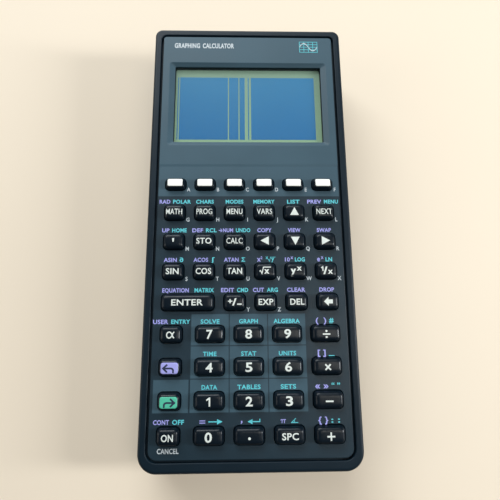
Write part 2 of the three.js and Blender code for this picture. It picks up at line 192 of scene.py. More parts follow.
def printed(name, colour, rough=0.5):
    """Screen-printed ink: nearly even, with a slightly uneven coat. The near-black one is painted shadow,
    laid on the same way.
    """
    finish = Finish(name)
    coat = finish.mix(finish.spread(finish.noise(900), 0, 1), shade(colour, 0.93), shade(colour, 1.05))
    return finish.dress(coat, finish.noise(400), rough - 0.06, rough + 0.06)


CASE_GREY = moulded("dark_grey_moulding", srgb(8, 25, 35), 0.46, Specular_IOR_Level=0.2)
FACE_SLATE = moulded("slate_face_print", srgb(52, 76, 88), 0.5, worn=0)
FACE_DARK = moulded("charcoal_face_print", srgb(23, 41, 51), 0.42, worn=0)
SATIN = {"grain": 3200, "depth": 0.000008}
KEY_BLACK = moulded(
    "satin_black_keycap", srgb(6, 17, 26), 0.3, cloud=0.1, worn=0.02, Specular_IOR_Level=0.24, **SATIN
)
KEY_LAVENDER = moulded("lavender_keycap", srgb(150, 150, 208), 0.34, cloud=0.03, worn=0, **SATIN)
KEY_MINT = moulded("mint_keycap", srgb(76, 172, 144), 0.34, cloud=0.03, worn=0, **SATIN)
KEY_WHITE = moulded("off_white_keytop", srgb(232, 233, 226), 0.4, cloud=0.02, worn=0, **SATIN)
INK_WHITE = printed("white_ink", srgb(204, 210, 204))
INK_GREY = printed("pale_grey_ink", srgb(182, 190, 194))
INK_LAVENDER = printed("lavender_ink", srgb(150, 150, 216))
INK_TEAL = printed("teal_ink", srgb(84, 190, 200))
INK_DARK = printed("dark_ink", srgb(24, 34, 60))
# Near-black painted shadow along the display opening's sides and far edge, laid on like ink.
PAINTED_SHADOW_BLACK = printed("black_mask_ink", srgb(12, 17, 20))


def glass_pane():
    """Clear plastic, faintly tinted, that lets the display show through its own reflection."""
    finish = Finish("clear_pane_plastic", Alpha=0.12, IOR=1.45)
    tint = finish.mix(finish.noise(30), srgb(40, 60, 60), srgb(60, 80, 78))
    return finish.dress(tint, finish.noise(60), 0.07, 0.13, finish.noise(40), 0.00001)


def liquid_crystal(name, near, far, rough):
    """Display glass that shades from one colour at its near edge to another at its far edge. On the blue
    dots this is a painted reflection, lighter towards the far edge; the green glass is a little darker
    towards its far edge.
    """
    finish = Finish(name, Specular_IOR_Level=0.15)
    clouds = finish.math("MULTIPLY", finish.noise(60), 0.008)
    wavy = finish.math("ADD", finish.along(1), clouds)
    shaded = finish.mix(finish.spread(wavy, 0, 1, 0.042, 0.07), near, far)
    return finish.dress(shaded, finish.noise(220), rough - 0.04, rough + 0.04, finish.noise(700), 0.000005)


def circuit_laminate():
    """Green solder mask with faint tracks under it."""
    finish = Finish("green_circuit_laminate", Coat_Weight=0.3)
    inputs = {"Vector": finish.place, "Scale": 420.0, "Color1": (0.02, 0.12, 0.05, 1)}
    inputs.update({"Color2": (0.015, 0.09, 0.04, 1), "Mortar": (0.05, 0.2, 0.09, 1), "Mortar Size": 0.03})
    tracks = finish.node("TexBrick", inputs)
    mask = finish.mix(finish.noise(300), tracks, (0.02, 0.1, 0.05, 1))
    return finish.dress(mask, finish.noise(200), 0.3, 0.45, tracks.outputs[1], 0.00002)


def metal(name, colour, rough):
    """Drawn metal, with its fine lines along one axis."""
    finish = Finish(name, Metallic=1.0)
    tone = finish.mix(finish.noise(250), shade(colour, 0.85), shade(colour, 1.05))
    lines = finish.noise(900, 2, (1, 10, 1))
    return finish.dress(tone, finish.noise(120, 3, (1, 12, 1)), rough - 0.08, rough + 0.1, lines, 0.000006)


def cell_sleeve():
    """A printed sleeve: a copper coloured end band on a dark body, with bare metal tips."""
    finish = Finish("printed_cell_sleeve", Metallic=0.35)
    size = finish.math("ABSOLUTE", finish.along(0))
    band = finish.spread(size, 0, 1, 0.0135, 0.0137)
    tip = finish.spread(size, 0, 1, 0.0213, 0.0215)
    sleeve = finish.mix(band, srgb(32, 34, 38), srgb(176, 110, 60))
    sleeve = finish.mix(tip, sleeve, srgb(190, 190, 188))
    return finish.dress(sleeve, finish.noise(160), 0.22, 0.34, finish.noise(500), 0.000008)


def infrared_plastic():
    """Dark red plastic that hides the lamp behind it."""
    finish = Finish("dark_red_infrared_plastic", IOR=1.5, Coat_Weight=0.5)
    tint = finish.mix(finish.noise(120), (0.02, 0.0015, 0.003, 1), (0.04, 0.003, 0.005, 1))
    return finish.dress(tint, finish.noise(240), 0.06, 0.14, finish.noise(500), 0.000004)


INFRARED = infrared_plastic()
CIRCUIT = circuit_laminate()
CONTACT_METAL = metal("nickel_contact", (0.72, 0.7, 0.66, 1), 0.3)
CELL_WRAP = cell_sleeve()
RUBBER = moulded("black_foot_rubber", srgb(28, 28, 29), 0.75, 1800, 0.00004, 0.1, 0)
MAT_RUBBER = moulded("grey_mat_rubber", srgb(120, 122, 124), 0.7, 1800, 0.00003, 0.06, 0)
PANE = glass_pane()
LCD_GREEN = liquid_crystal("grey_green_display", srgb(154, 188, 152), srgb(146, 176, 152), 0.4)
# Painted reflection: the blue dots grow lighter towards the display's far edge.
LCD_BLUE_PAINTED_REFLECTION = liquid_crystal("blue_display_dots", srgb(42, 120, 182), srgb(66, 140, 190), 0.35)


# ---------- meshes ----------
def outline(half, near, far, near_radius, far_radius, steps=10):
    """Points of a rectangle with round corners, anticlockwise from the near right corner."""
    corners = (
        (half - near_radius, near + near_radius, near_radius, -90),
        (half - far_radius, far - far_radius, far_radius, 0),
        (far_radius - half, far - far_radius, far_radius, 90),
        (near_radius - half, near + near_radius, near_radius, 180),
    )
    points = []
    for x, y, radius, start in corners:
        for i in range(steps + 1):
            angle = radians(start + 90 * i / steps)
            points.append((x + radius * cos(angle), y + radius * sin(angle)))
    return points


def ring(points, z, x=0, y=0):
    return [Vector((px + x, py + y, z)) for px, py in points]


def quarter_arc(steps):
    """How far an edge of radius 1 is drawn in and has dropped, at even angles round it."""
    angles = [radians(90 * i / steps) for i in range(steps + 1)]
    return [(1 - sin(a), 1 - cos(a)) for a in angles]


def stack(bm, rings):
    """Walls between neighbouring rings. Returns the first and the last ring's vertices."""
    rows = [[bm.verts.new(p) for p in points] for points in rings]
    for low, high in zip(rows, rows[1:]):
        count = len(low)
        for i in range(count):
            j = (i + 1) % count
            bm.faces.new((low[i], low[j], high[j], high[i]))
    return rows[0], rows[-1]


def fill_between(bm, outer, holes, paint=None, borders=()):
    """A flat face inside outer and outside every hole. paint gives a material index from the
    middle of each triangle, and borders are closed outlines that its triangles follow."""
    verts = list(outer)
    loops = [(0, len(outer))]
    for hole in holes:
        loops.append((len(verts), len(hole)))
        verts.extend(hole)
    points = [v.co.xy for v in verts]
    for border in borders:
        loops.append((len(points), len(border)))
        points.extend(Vector(p) for p in border)
    edges = [(s + i, s + (i + 1) % n) for s, n in loops for i in range(n)]
    out, _, faces, origin, _, _ = geometry.delaunay_2d_cdt(points, edges, [], 1, 1e-5)
    made = []
    for point, sources in zip(out, origin):
        known = [s for s in sources if s < len(verts)]
        made.append(verts[known[0]] if known else bm.verts.new((*point, outer[0].co.z)))
    rims = {v for hole in holes for v in hole}
    for face in faces:
        corners = [made[i] for i in face]
        middle = sum((v.co for v in corners), Vector()) / 3
        if rims.issuperset(corners) and in_hole(middle, holes):
            continue
        try:
            made_face = bm.faces.new(corners)
        except ValueError:
            continue
        if paint:
            made_face.material_index = paint(middle.x, middle.y)


def in_hole(point, holes):
    """Whether an odd number of one hole's edges lies to the right of the point."""
    for hole in holes:
        inside = False
        for a, b in zip(hole, hole[1:] + hole[:1]):
            if (a.co.y > point.y) != (b.co.y > point.y):
                x = a.co.x + (point.y - a.co.y) / (b.co.y - a.co.y) * (b.co.x - a.co.x)
                inside = inside != (point.x < x)
        if inside:
            return True
    return False


def close_mesh(bm):
    """Merges doubled corners and turns every face outwards."""
    bmesh.ops.remove_doubles(bm, verts=bm.verts[:], dist=1e-4)
    bmesh.ops.recalc_face_normals(bm, faces=bm.faces[:])


def link_mesh(name, bm):
    """Turns a bmesh into an object of the scene."""
    mesh = bpy.data.meshes.new(name)
    bm.to_mesh(mesh)
    bm.free()
    return link_object(name, mesh)


def link_object(name, data):
    made = bpy.data.objects.new(name, data)
    scene.collection.objects.link(made)
    return made


def plain_mesh(shape):
    """An object's final shape as a mesh of its own."""
    depsgraph = bpy.context.evaluated_depsgraph_get()
    return bpy.data.meshes.new_from_object(shape.evaluated_get(depsgraph))


def place_mesh(mesh, matrix, sharp):
    """Puts a mesh in its place and shades it smooth except at edges sharper than this."""
    mesh.transform(matrix)
    mesh.shade_smooth()
    mesh.set_sharp_from_angle(angle=radians(sharp))


def finish_mesh(name, bm, matrix, *materials, sharp=35, heal=True):
    """Closes a bmesh into an object at the origin, its place in its mesh."""
    if heal:
        close_mesh(bm)
    piece = link_mesh(name, bm)
    mesh = piece.data
    level = [abs(p.normal.z) > 0.99995 for p in mesh.polygons]
    place_mesh(mesh, matrix, sharp)
    for polygon, flat in zip(mesh.polygons, level):
        polygon.use_smooth = not flat
    for material in materials:
        mesh.materials.append(material)
    return piece


def fit(piece, body, slot=None, *nodes):
    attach(piece, body)
    if nodes:
        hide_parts(*nodes)
    return piece


# ---------- geometry node trees ----------
class Field:
    """A number that varies over a geometry, with ordinary arithmetic."""

    def __init__(self, tree, socket):
        self.tree = tree
        self.socket = socket

    def math(self, operation, other=None):
        made = add_node(self.tree, "ShaderNodeMath", {0: self, 1: other}, operation=operation)
        return Field(self.tree, made.outputs[0])

    def __add__(self, other):
        return self.math("ADD", other)

    def __sub__(self, other):
        return self.math("SUBTRACT", other)

    def __mul__(self, other):
        return self.math("MULTIPLY", other)

    def __truediv__(self, other):
        return self.math("DIVIDE", other)


class Tree:
    """A Geometry Nodes tree with named inputs that ends in one geometry."""

    def __init__(self, name, counts, sizes):
        """counts and sizes name its whole-number inputs and its decimal ones."""
        self.tree = bpy.data.node_groups.new(name, "GeometryNodeTree")
        self.tree.is_modifier = True
        sockets = self.tree.interface
        for kind, labels in (("Int", counts), ("Float", sizes), ("Material", "Material")):
            for label in labels.split(", "):
                sockets.new_socket(label, in_out="INPUT", socket_type="NodeSocket" + kind)
        sockets.new_socket("Geometry", in_out="OUTPUT", socket_type="NodeSocketGeometry")
        self.inlet = self.tree.nodes.new("NodeGroupInput")

    def __getitem__(self, name):
        return Field(self.tree, self.inlet.outputs[name])

    def node(self, kind, inputs={}, **settings):
        return add_node(self.tree, "GeometryNode" + kind, inputs, **settings)

    def vector(self, x, y, z):
        return add_node(self.tree, "ShaderNodeCombineXYZ", {0: x, 1: y, 2: z})

    def parts(self, vector):
        made = add_node(self.tree, "ShaderNodeSeparateXYZ", {0: vector})
        return [Field(self.tree, socket) for socket in made.outputs]

    def tube(self, curve, radius, sides):
        profile = self.node("CurvePrimitiveCircle", {"Resolution": sides, "Radius": radius})
        return self.node("CurveToMesh", {"Curve": curve, "Profile Curve": profile, "Fill Caps": True})

    def row(self, thing, scale=None):
        """Count copies of a thing, one Pitch apart along y."""
        line = self.node("MeshLine", {"Count": self["Count"], "Offset": self.vector(0, self["Pitch"], 0)})
        return self.copies(line, thing, scale)

    def copies(self, points, thing, scale=None):
        return self.node("InstanceOnPoints", {"Points": points, "Instance": thing, "Scale": scale})

    def close(self, shape):
        real = self.node("RealizeInstances", {0: shape})
        painted = self.node("SetMaterial", {"Geometry": real, "Material": self["Material"]})
        add_node(self.tree, "NodeGroupOutput", {0: painted})
        return self


def grow(name, tree, matrix, material, sharp=35, **values):
    """Runs a tree once with these inputs and keeps its result as a plain mesh."""
    values["Material"] = material
    piece = link_object(name, bpy.data.meshes.new(name))
    modifier = piece.modifiers.new("shape", "NODES")
    modifier.node_group = tree.tree
    for item in tree.tree.interface.items_tree:
        if item.in_out == "INPUT":
            modifier[item.identifier] = values[item.name.replace(" ", "_")]
    mesh = plain_mesh(piece)
    piece.modifiers.clear()
    bm = bmesh.new()
    bm.from_mesh(mesh)
    close_mesh(bm)
    bm.to_mesh(mesh)
    bm.free()
    place_mesh(mesh, matrix, sharp)
    piece.data = mesh
    return piece


# ---------- keys ----------
def keycap_tree():
    """One key cap: a rounded rectangle drawn in and raised over a squared-off arc, so its
    sides are steep, its shoulders round and its top gently crowned, on a straight skirt."""
    sizes = "Width, Length, Corner, Height, Skirt, Squareness, Side Lean, Near Lean, Far Lean"
    tree = Tree("keycap", "Around, Levels", sizes)
    width, length, levels = tree["Width"], tree["Length"], tree["Levels"]
    counts = {"Vertices X": tree["Around"], "Vertices Y": levels}
    grid = tree.node("MeshGrid", {"Size X": 1.0, "Size Y": 1.0, **counts})
    grid_x, grid_y, _ = tree.parts(tree.node("InputPosition"))
    level = ((grid_y + 0.5) * (levels - 1)).math("ROUND")
    rise = ((level - 2) / (levels - 3)).math("MAXIMUM", 0.0)
    angle = rise * (pi / 2)
    power = add_node(tree.tree, "ShaderNodeMath", {0: 2.0, 1: tree["Squareness"]}, operation="DIVIDE")
    reach = angle.math("COSINE").math("MAXIMUM", 0.0).math("POWER", power)
    lift = angle.math("SINE").math("POWER", power)
    is_closing = level.math("LESS_THAN", 0.5)
    reach = reach * (is_closing * -1 + 1)
    skirt = level.math("LESS_THAN", 1.5)
    rectangle = tree.node("CurvePrimitiveQuadrilateral", {0: width, 1: length})
    corners = {"Curve": rectangle, "Count": 8, "Radius": tree["Corner"]}
    fillet = tree.node("FilletCurve", corners, mode="POLY")
    along = {"Curves": fillet, "Factor": grid_x + 0.5}
    edge = tree.node("SampleCurve", along, mode="FACTOR", use_all_curves=True)
    edge_x, edge_y, _ = tree.parts(edge.outputs["Position"])
    shrink_x = (reach * -1 + 1) * length / width * -1 + 1
    lean_x = lift * tree["Side Lean"] * -2 / width + 1
    near, far = tree["Near Lean"], tree["Far Lean"]
    lean_y = lift * (near + far) * -1 / length + 1
    shift_y = lift * reach * (near - far) * 0.5
    z = tree["Height"] * lift - skirt * tree["Skirt"]
    moved = tree.vector(edge_x * shrink_x * lean_x, edge_y * reach * lean_y + shift_y, z)
    shaped = tree.node("SetPosition", {"Geometry": grid, "Position": moved})
    return tree.close(tree.node("MergeByDistance", {0: shaped, "Distance": 0.0005}))


KEYCAP = keycap_tree()
KEY_NODES = sorted(n for n in frame["nodes"] if n.startswith("key_") and n != "key_mat")


def key_place(node):
    """A key's middle and cap size on the face, from its CAD solid."""
    low, high = on_face(node)
    middle = (low + high) / 2
    return middle.x, middle.y, high.x - low.x - 2 * KEY_FLANGE, high.y - low.y - 2 * KEY_FLANGE, high.z


def grow_cap(name, place, width, length, corner, height, skirt, material, small=False):
    lean = 0.15 if small else 0.55
    sizes = {"Width": width, "Length": length, "Corner": corner, "Height": height, "Skirt": skirt}
    leans = {"Side_Lean": lean, "Near_Lean": 0.7 * lean, "Far_Lean": 1.1 * lean}
    shape = (7.0, 65, 12) if small else (4.6, 97, 20)
    shape = dict(zip(("Squareness", "Around", "Levels"), shape))
    return grow(name, KEYCAP, FACE @ move(*place), material, **sizes, **leans, **shape)


KEY_TOPS = {"key_shift_left": (KEY_LAVENDER, "key_lavender"), "key_shift_right": (KEY_MINT, "key_mint")}
SKIRT = 2.6  # how far a cap reaches under the face
SHIFT_TABLET = (6.4, 4.15, 0.9)  # width, length and corner radius
MENU_TABLET = (6.1, 3.15, 0.6)
TABLET_PROUD = 0.12
TABLET_HEIGHT = 0.5


def make_key(node):
    """A black cap, and on a menu or shift key the coloured tablet let into its top."""
    x, y, width, length, height = key_place(node)
    has_tablet = node in KEY_TOPS or node.startswith("key_menu")
    cap_height = height - TABLET_PROUD if has_tablet else height
    cap = grow_cap(node + "_cap", (x, y, 0), width, length, KEY_RADIUS, cap_height, SKIRT, KEY_BLACK)
    fit(cap, node, "key_black", node)
    if not has_tablet:
        return cap
    material, slot = KEY_TOPS.get(node, (KEY_WHITE, "key_white"))
    shape, up = (SHIFT_TABLET, -0.2) if node in KEY_TOPS else (MENU_TABLET, 0.12)
    shape += (TABLET_HEIGHT, TABLET_HEIGHT)
    tablet = grow_cap(node + "_top", (x, y + up, height - 0.52), *shape, material, True)
    return fit(tablet, node, slot, node)


# ---------- face plate and front shell ----------
def key_ring_stack(node, z_top, z_bottom, edge):
    """Rings of one key hole, with a small round lip at the top."""
    x, y, width, length, _ = key_place(node)
    rings = []
    for inward, drop in quarter_arc(4):
        spread = KEY_GAP + edge * inward
        far = length / 2 + spread
        points = outline(width / 2 + spread, -far, far, *[KEY_RADIUS + spread] * 2, 6)
        rings.append(ring(points, z_top - edge * drop, x, y))
    return rings + [lowered(rings, z_bottom)]


def lowered(rings, z):
    """The last ring again at another height."""
    return [Vector((p.x, p.y, z)) for p in rings[-1]]


def plate_ring(z, inset):
    half = PLATE_HIGH.x - inset
    radii = PLATE_RADII[0] - inset, PLATE_RADII[1] - inset / 2
    points = outline(half, PLATE_LOW.y + inset, PLATE_HIGH.y - inset, *radii)
    return ring(points, z)


WINDOW_LOW, WINDOW_HIGH = on_face("display_window")
PANE_LAP = 1.4
WINDOW_HALF = WINDOW_HIGH.x - PANE_LAP
WINDOW_NEAR = WINDOW_LOW.y + PANE_LAP
WINDOW_FAR = WINDOW_HIGH.y - PANE_LAP
PAN_DEPTH = 1.0


def window_rings(z_bottom):
    """The sloping pan around the display, then the sharp edge of the opening."""
    rings = []
    for share, depth in ((1, 0), (0.94, 0.015), (0.86, 0.07), (0.75, 0.2), (0, 1)):
        near, far = WINDOW_NEAR - 1.9 * share, WINDOW_FAR + 1.6 * share
        points = outline(WINDOW_HALF + 2.4 * share, near, far, *[0.5 + 0.8 * share] * 2, 6)
        rings.append(ring(points, -PAN_DEPTH * depth))
    for inset, drop in ((-0.04, 0.02), (0, 0.1)):
        points = outline(WINDOW_HALF + inset, WINDOW_NEAR - inset, WINDOW_FAR + inset, 0.5, 0.5, 6)
        rings.append(ring(points, -PAN_DEPTH - drop))
    return rings + [lowered(rings, z_bottom)]


SLATE_NEAR = 102.6  # the slate print reaches from here to the far end
LEDGE = (115.3, 116.4)  # below this the face lies a little lower
LEDGE_DROP = 0.16
GROOVE_EDGE = 0.3
RIM_EDGE = 1.3
SIDE_WALL = 2.2
TILE_GAP = 0.36
TILE_REACH = 0.36  # the share of a row that a tile reaches below the middle of its key


def slate_tiles():
    """Slate rectangles printed behind the number keys and the second shift key."""
    columns = [key_place(f"key_{n}")[0] for n in "789"]
    rows = [key_place(f"key_{n}")[1] for n in "147"]
    half = (columns[1] - columns[0]) / 2
    sides = [(x - half, x + half, y) for x in columns for y in rows]
    sides.append((-PLATE_HIGH.x + 0.9, columns[0] - half - 0.2, key_place("key_shift_right")[1]))
    near, far = TILE_REACH * (rows[1] - rows[0]), (1 - TILE_REACH) * (rows[1] - rows[0])
    gap = TILE_GAP / 2
    return [(a + gap, b - gap, y - near + gap, y + far - gap) for a, b, y in sides]


def make_face_plate():
    bm = bmesh.new()
    rim = ((0, 0.2), (-0.03, 0.08), (-0.1, 0.02), (-0.2, 0), (PLATE_LOW.z, 0))
    stacks = [[plate_ring(z, inset) for z, inset in rim]]
    stacks += [key_ring_stack(n, 0, PLATE_LOW.z, 0.12) for n in KEY_NODES]
    stacks.append(window_rings(PLATE_LOW.z))
    tops, bottoms = zip(*[stack(bm, rings) for rings in stacks])
    tiles = slate_tiles()

    def paint(x, y):
        if y > SLATE_NEAR or any(a < x < b and c < y < d for a, b, c, d in tiles):
            return 0
        return 1

    half = PLATE_HIGH.x - 0.2
    bands = [(SLATE_NEAR, SLATE_NEAR + 1), LEDGE, [LEDGE[0] + 0.3, LEDGE[1] - 0.3]]
    boxes = tiles + [(-half, half, low, high) for low, high in bands]
    borders = [[(a, c), (b, c), (b, d), (a, d)] for a, b, c, d in boxes]
    fill_between(bm, tops[0], tops[1:], paint, borders)
    fill_between(bm, bottoms[0], bottoms[1:])
    for face in bm.faces:
        middle = face.calc_center_median()
        if abs(face.normal.z) < 0.999 or middle.z < -0.001:
            face.material_index = paint(middle.x, middle.y)
    for vert in bm.verts:
        if vert.co.z > -1:
            share = min(1, max(0, (LEDGE[1] - vert.co.y) / (LEDGE[1] - LEDGE[0])))
            vert.co.z -= LEDGE_DROP * share * share * (3 - 2 * share)
    plate = finish_mesh("face_plate_print", bm, FACE, FACE_SLATE, FACE_DARK)
    return fit(plate, "root", "face_slate", "face_plate")


def case_ring(z, side, near=None, far=None, radii=(NEAR_RADIUS, FAR_RADIUS)):
    near = side if near is None else near
    far = side if far is None else far
    near_radius, far_radius = (max(r - side, 0.4) for r in radii)
    points = outline(CASE_WIDTH / 2 - side, near, CASE_LENGTH - far, near_radius, far_radius, 12)
    return ring(points, z)


def make_front_shell():
    """Rim, side walls and the deck under the face plate, as one shell."""
    bm = bmesh.new()
    near, far = PLATE_LOW.y - GROOVE, CASE_LENGTH - PLATE_HIGH.y - GROOVE
    side = CASE_WIDTH / 2 - PLATE_HIGH.x - GROOVE
    radii = [radius + GROOVE + side for radius in PLATE_RADII]

    def groove_ring(z, out):
        return case_ring(z, side - out, near - out, far - out, radii)

    rings = [groove_ring(DECK_TOP, 0)]
    for inward, drop in quarter_arc(4):
        rings.append(groove_ring(-GROOVE_EDGE * inward, GROOVE_EDGE * drop))
    for inward, drop in quarter_arc(8):
        rings.append(case_ring(-RIM_EDGE * drop, RIM_EDGE * inward))
    for rise, inset in ((0.2, 0), (0.05, 0.05), (0, 0.2), (0, SIDE_WALL)):
        rings.append(case_ring(PARTING + rise, inset))
    rings.append(case_ring(DECK_BOTTOM, SIDE_WALL))
    stacks = [rings] + [key_ring_stack(n, DECK_TOP, DECK_BOTTOM, 0.05) for n in KEY_NODES]
    lap = PANE_LAP + 0.3
    opening = outline(WINDOW_HALF + lap, WINDOW_NEAR - lap, WINDOW_FAR + lap, 0.3, 0.3, 3)
    stacks.append([ring(opening, DECK_TOP), ring(opening, DECK_BOTTOM)])
    for loops in zip(*[stack(bm, rings) for rings in stacks]):
        fill_between(bm, loops[0], loops[1:])
    close_mesh(bm)
    steps = []
    for x, wide, low, high in PORTS:
        levels = [(CASE_LENGTH - 1.2, 0), (CASE_LENGTH - 0.25, 0), (CASE_LENGTH + 1, -0.5)]
        port = plate_body(wide / 2, low, high, levels, 0.7)
        port.data.transform(Matrix(((1, 0, 0, x), (0, 0, 1, 0), (0, 1, 0, 0), (0, 0, 0, 1))))
        steps += cut(port)
    shell = combine("front_shell", link_mesh("front", bm), steps, FACE, CASE_GREY)
    fit(shell, "root", "case_dark", "front_case")


# middle, width and depths under the face of the infrared window and of the data socket
PORTS = ((-15, 17, -7.4, -3.0), (20, 11, -7.6, -2.8))


def make_ports():
    place = FACE @ move(0, CASE_LENGTH - 1.2, 0) @ spun(-90, "X")
    x, wide, low, high = PORTS[0]
    levels = [(0.02, 0.1), (0.6, 0.1), (0.85, 0.2), (0.95, 0.6), (0.98, 1.4)]
    lens = plate_body(wide / 2, -high, -low, levels, 0.7, x, 8)
    fit(combine("infrared_window", lens, [], place, INFRARED), "root", "clear_pane")
    x, wide, low, high = PORTS[1]
    for number in range(4):
        pin = plate_body(0.3, -high + 2.1, -high + 2.7, [(0.02, 0), (0.7, 0), (0.85, 0.12)], 0.15)
        pin.data.transform(move(x - 3 + 2 * number, 0))
        fit(combine(f"data_pin_{number + 1}", pin, [], place, CONTACT_METAL), "root")
    levels = [(0.02, 0), (0.75, 0), (0.85, 0.1)]
    sleeve = plate_body(wide / 2 - 0.5, -high + 0.5, -low - 0.5, levels, 0.5, x)
    hollow = plate_body(wide / 2 - 0.9, -high + 0.9, -low - 0.9, [(-1, 0), (2, 0)], 0.4, x)
    sleeve = combine("data_socket_sleeve", sleeve, cut(hollow), place, KEY_BLACK)
    fit(sleeve, "root", "key_black")


# ---------- display ----------
DOT_FIELD = (-30.4, 28.7, 128.6, 158.0)
CLEAR_COLUMNS = ((-29.8, -29.34), (-8.63, -8.17), (-4.4, -3.94), (-1.45, -0.3), (0.5, 0.96))


def dot_tree(gaps):
    """A grid of square dots. Columns inside one of the gaps stay clear."""
    tree = Tree("display_dots", "Columns, Rows", "Width, Length, Gap, Thickness")
    pitch_x = tree["Width"] / tree["Columns"]
    pitch_y = tree["Length"] / tree["Rows"]
    sizes = {"Size X": tree["Width"] - pitch_x, "Size Y": tree["Length"] - pitch_y}
    counts = {"Vertices X": tree["Columns"], "Vertices Y": tree["Rows"]}
    grid = tree.node("MeshGrid", {**sizes, **counts})
    x, _, _ = tree.parts(tree.node("InputPosition"))
    clear = None
    for low, high in gaps:
        inside = x.math("GREATER_THAN", low) * x.math("LESS_THAN", high)
        clear = clear.math("MAXIMUM", inside) if clear else inside
    points = tree.node("MeshToPoints", {"Mesh": grid, "Selection": clear.math("LESS_THAN", 0.5)})
    size = tree.vector(pitch_x - tree["Gap"], pitch_y - tree["Gap"], tree["Thickness"])
    return tree.close(tree.copies(points, tree.node("MeshCube", {"Size": size})))


def slab(name, half, near, far, top, bottom, edge, matrix, material, radius=0.4):
    """A flat plate with rounded top edges."""
    bm = bmesh.new()
    rings = []
    for inward, drop in quarter_arc(3):
        inset = edge * inward
        points = outline(half - inset, near + inset, far - inset, radius, radius, 4)
        rings.append(ring(points, top - edge * drop))
    for loop in stack(bm, rings + [lowered(rings, bottom)]):
        fill_between(bm, loop, [])
    return finish_mesh(name, bm, matrix, material)


def make_painted_edge_shadow(low, high):
    """A dark band behind the pane, painted shadow where the opening's walls shade the display; it shows
    along the sides and far edge.
    """
    bm = bmesh.new()
    outer = outline(WINDOW_HALF + 1, WINDOW_NEAR - 1, WINDOW_FAR + 1, 0.4, 0.4, 4)
    inner = outline(WINDOW_HALF - 0.2, WINDOW_NEAR - 0.1, WINDOW_FAR - 0.5, 0.4, 0.9, 6)
    ends = [stack(bm, [ring(points, high), ring(points, low)]) for points in (outer, inner)]
    for around, opening in zip(*ends):
        fill_between(bm, around, [opening])
    fit(finish_mesh("display_mask", bm, FACE, PAINTED_SHADOW_BLACK), "root", "display_glass")


def make_display():
    low, high = on_face("display_window")
    pane = slab("display_pane", high.x, low.y, high.y, high.z, low.z, 0.12, FACE, PANE)
    fit(pane, "root", "clear_pane", "display_window")
    top = low.z - 0.12
    make_painted_edge_shadow(top + 0.03, low.z - 0.03)
    low, high = on_face("display_module")
    glass = slab("display_cell", high.x, low.y, high.y, top, high.z - 1.4, 0.15, FACE, LCD_GREEN)
    fit(glass, "root", "display_glass", "display_module")
    holder = slab("display_holder", high.x, low.y, high.y, high.z - 1.5, low.z, 0.1, FACE, CASE_GREY)
    fit(holder, "root", "case_dark", "display_module")
    left, right, near, far = DOT_FIELD
    x, y = (left + right) / 2, (near + far) / 2
    tree = dot_tree([(a - x, b - x) for a, b in CLEAR_COLUMNS])
    sizes = {"Columns": 131, "Rows": 64, "Width": right - left, "Length": far - near}
    sizes.update(Gap=0.03, Thickness=0.04)
    dots = grow("display_dots", tree, FACE @ move(x, y, top + 0.01), LCD_BLUE_PAINTED_REFLECTION, **sizes)
    fit(dots, "root", "display_glass")


# ---------- lettering ----------
def letter_mesh(text, bold):
    """Flat faces of a text one capital high, its left end at zero."""
    curve = bpy.data.curves.new("lettering", "FONT")
    curve.body = text
    curve.offset = bold
    curve.resolution_u = 3
    curve.space_character = 1.06
    source = link_object("lettering", curve)
    mesh = plain_mesh(source)
    points = [v.co.xy for v in mesh.vertices]
    faces = [tuple(p.vertices) for p in mesh.polygons]
    bpy.data.objects.remove(source)
    bpy.data.meshes.remove(mesh)
    left = min(p.x for p in points)
    return [(p - Vector((left, 0))) / CAPITAL for p in points], faces


FILM_TOP = 0.025
FILM_SUNK = 0.08
LONG_EDGE = 1.1  # a longer edge is cut in two, so that the film follows a curved surface
CAPITAL = 1.0
CAPITAL = max(p.y for p in letter_mesh("H", 0)[0])


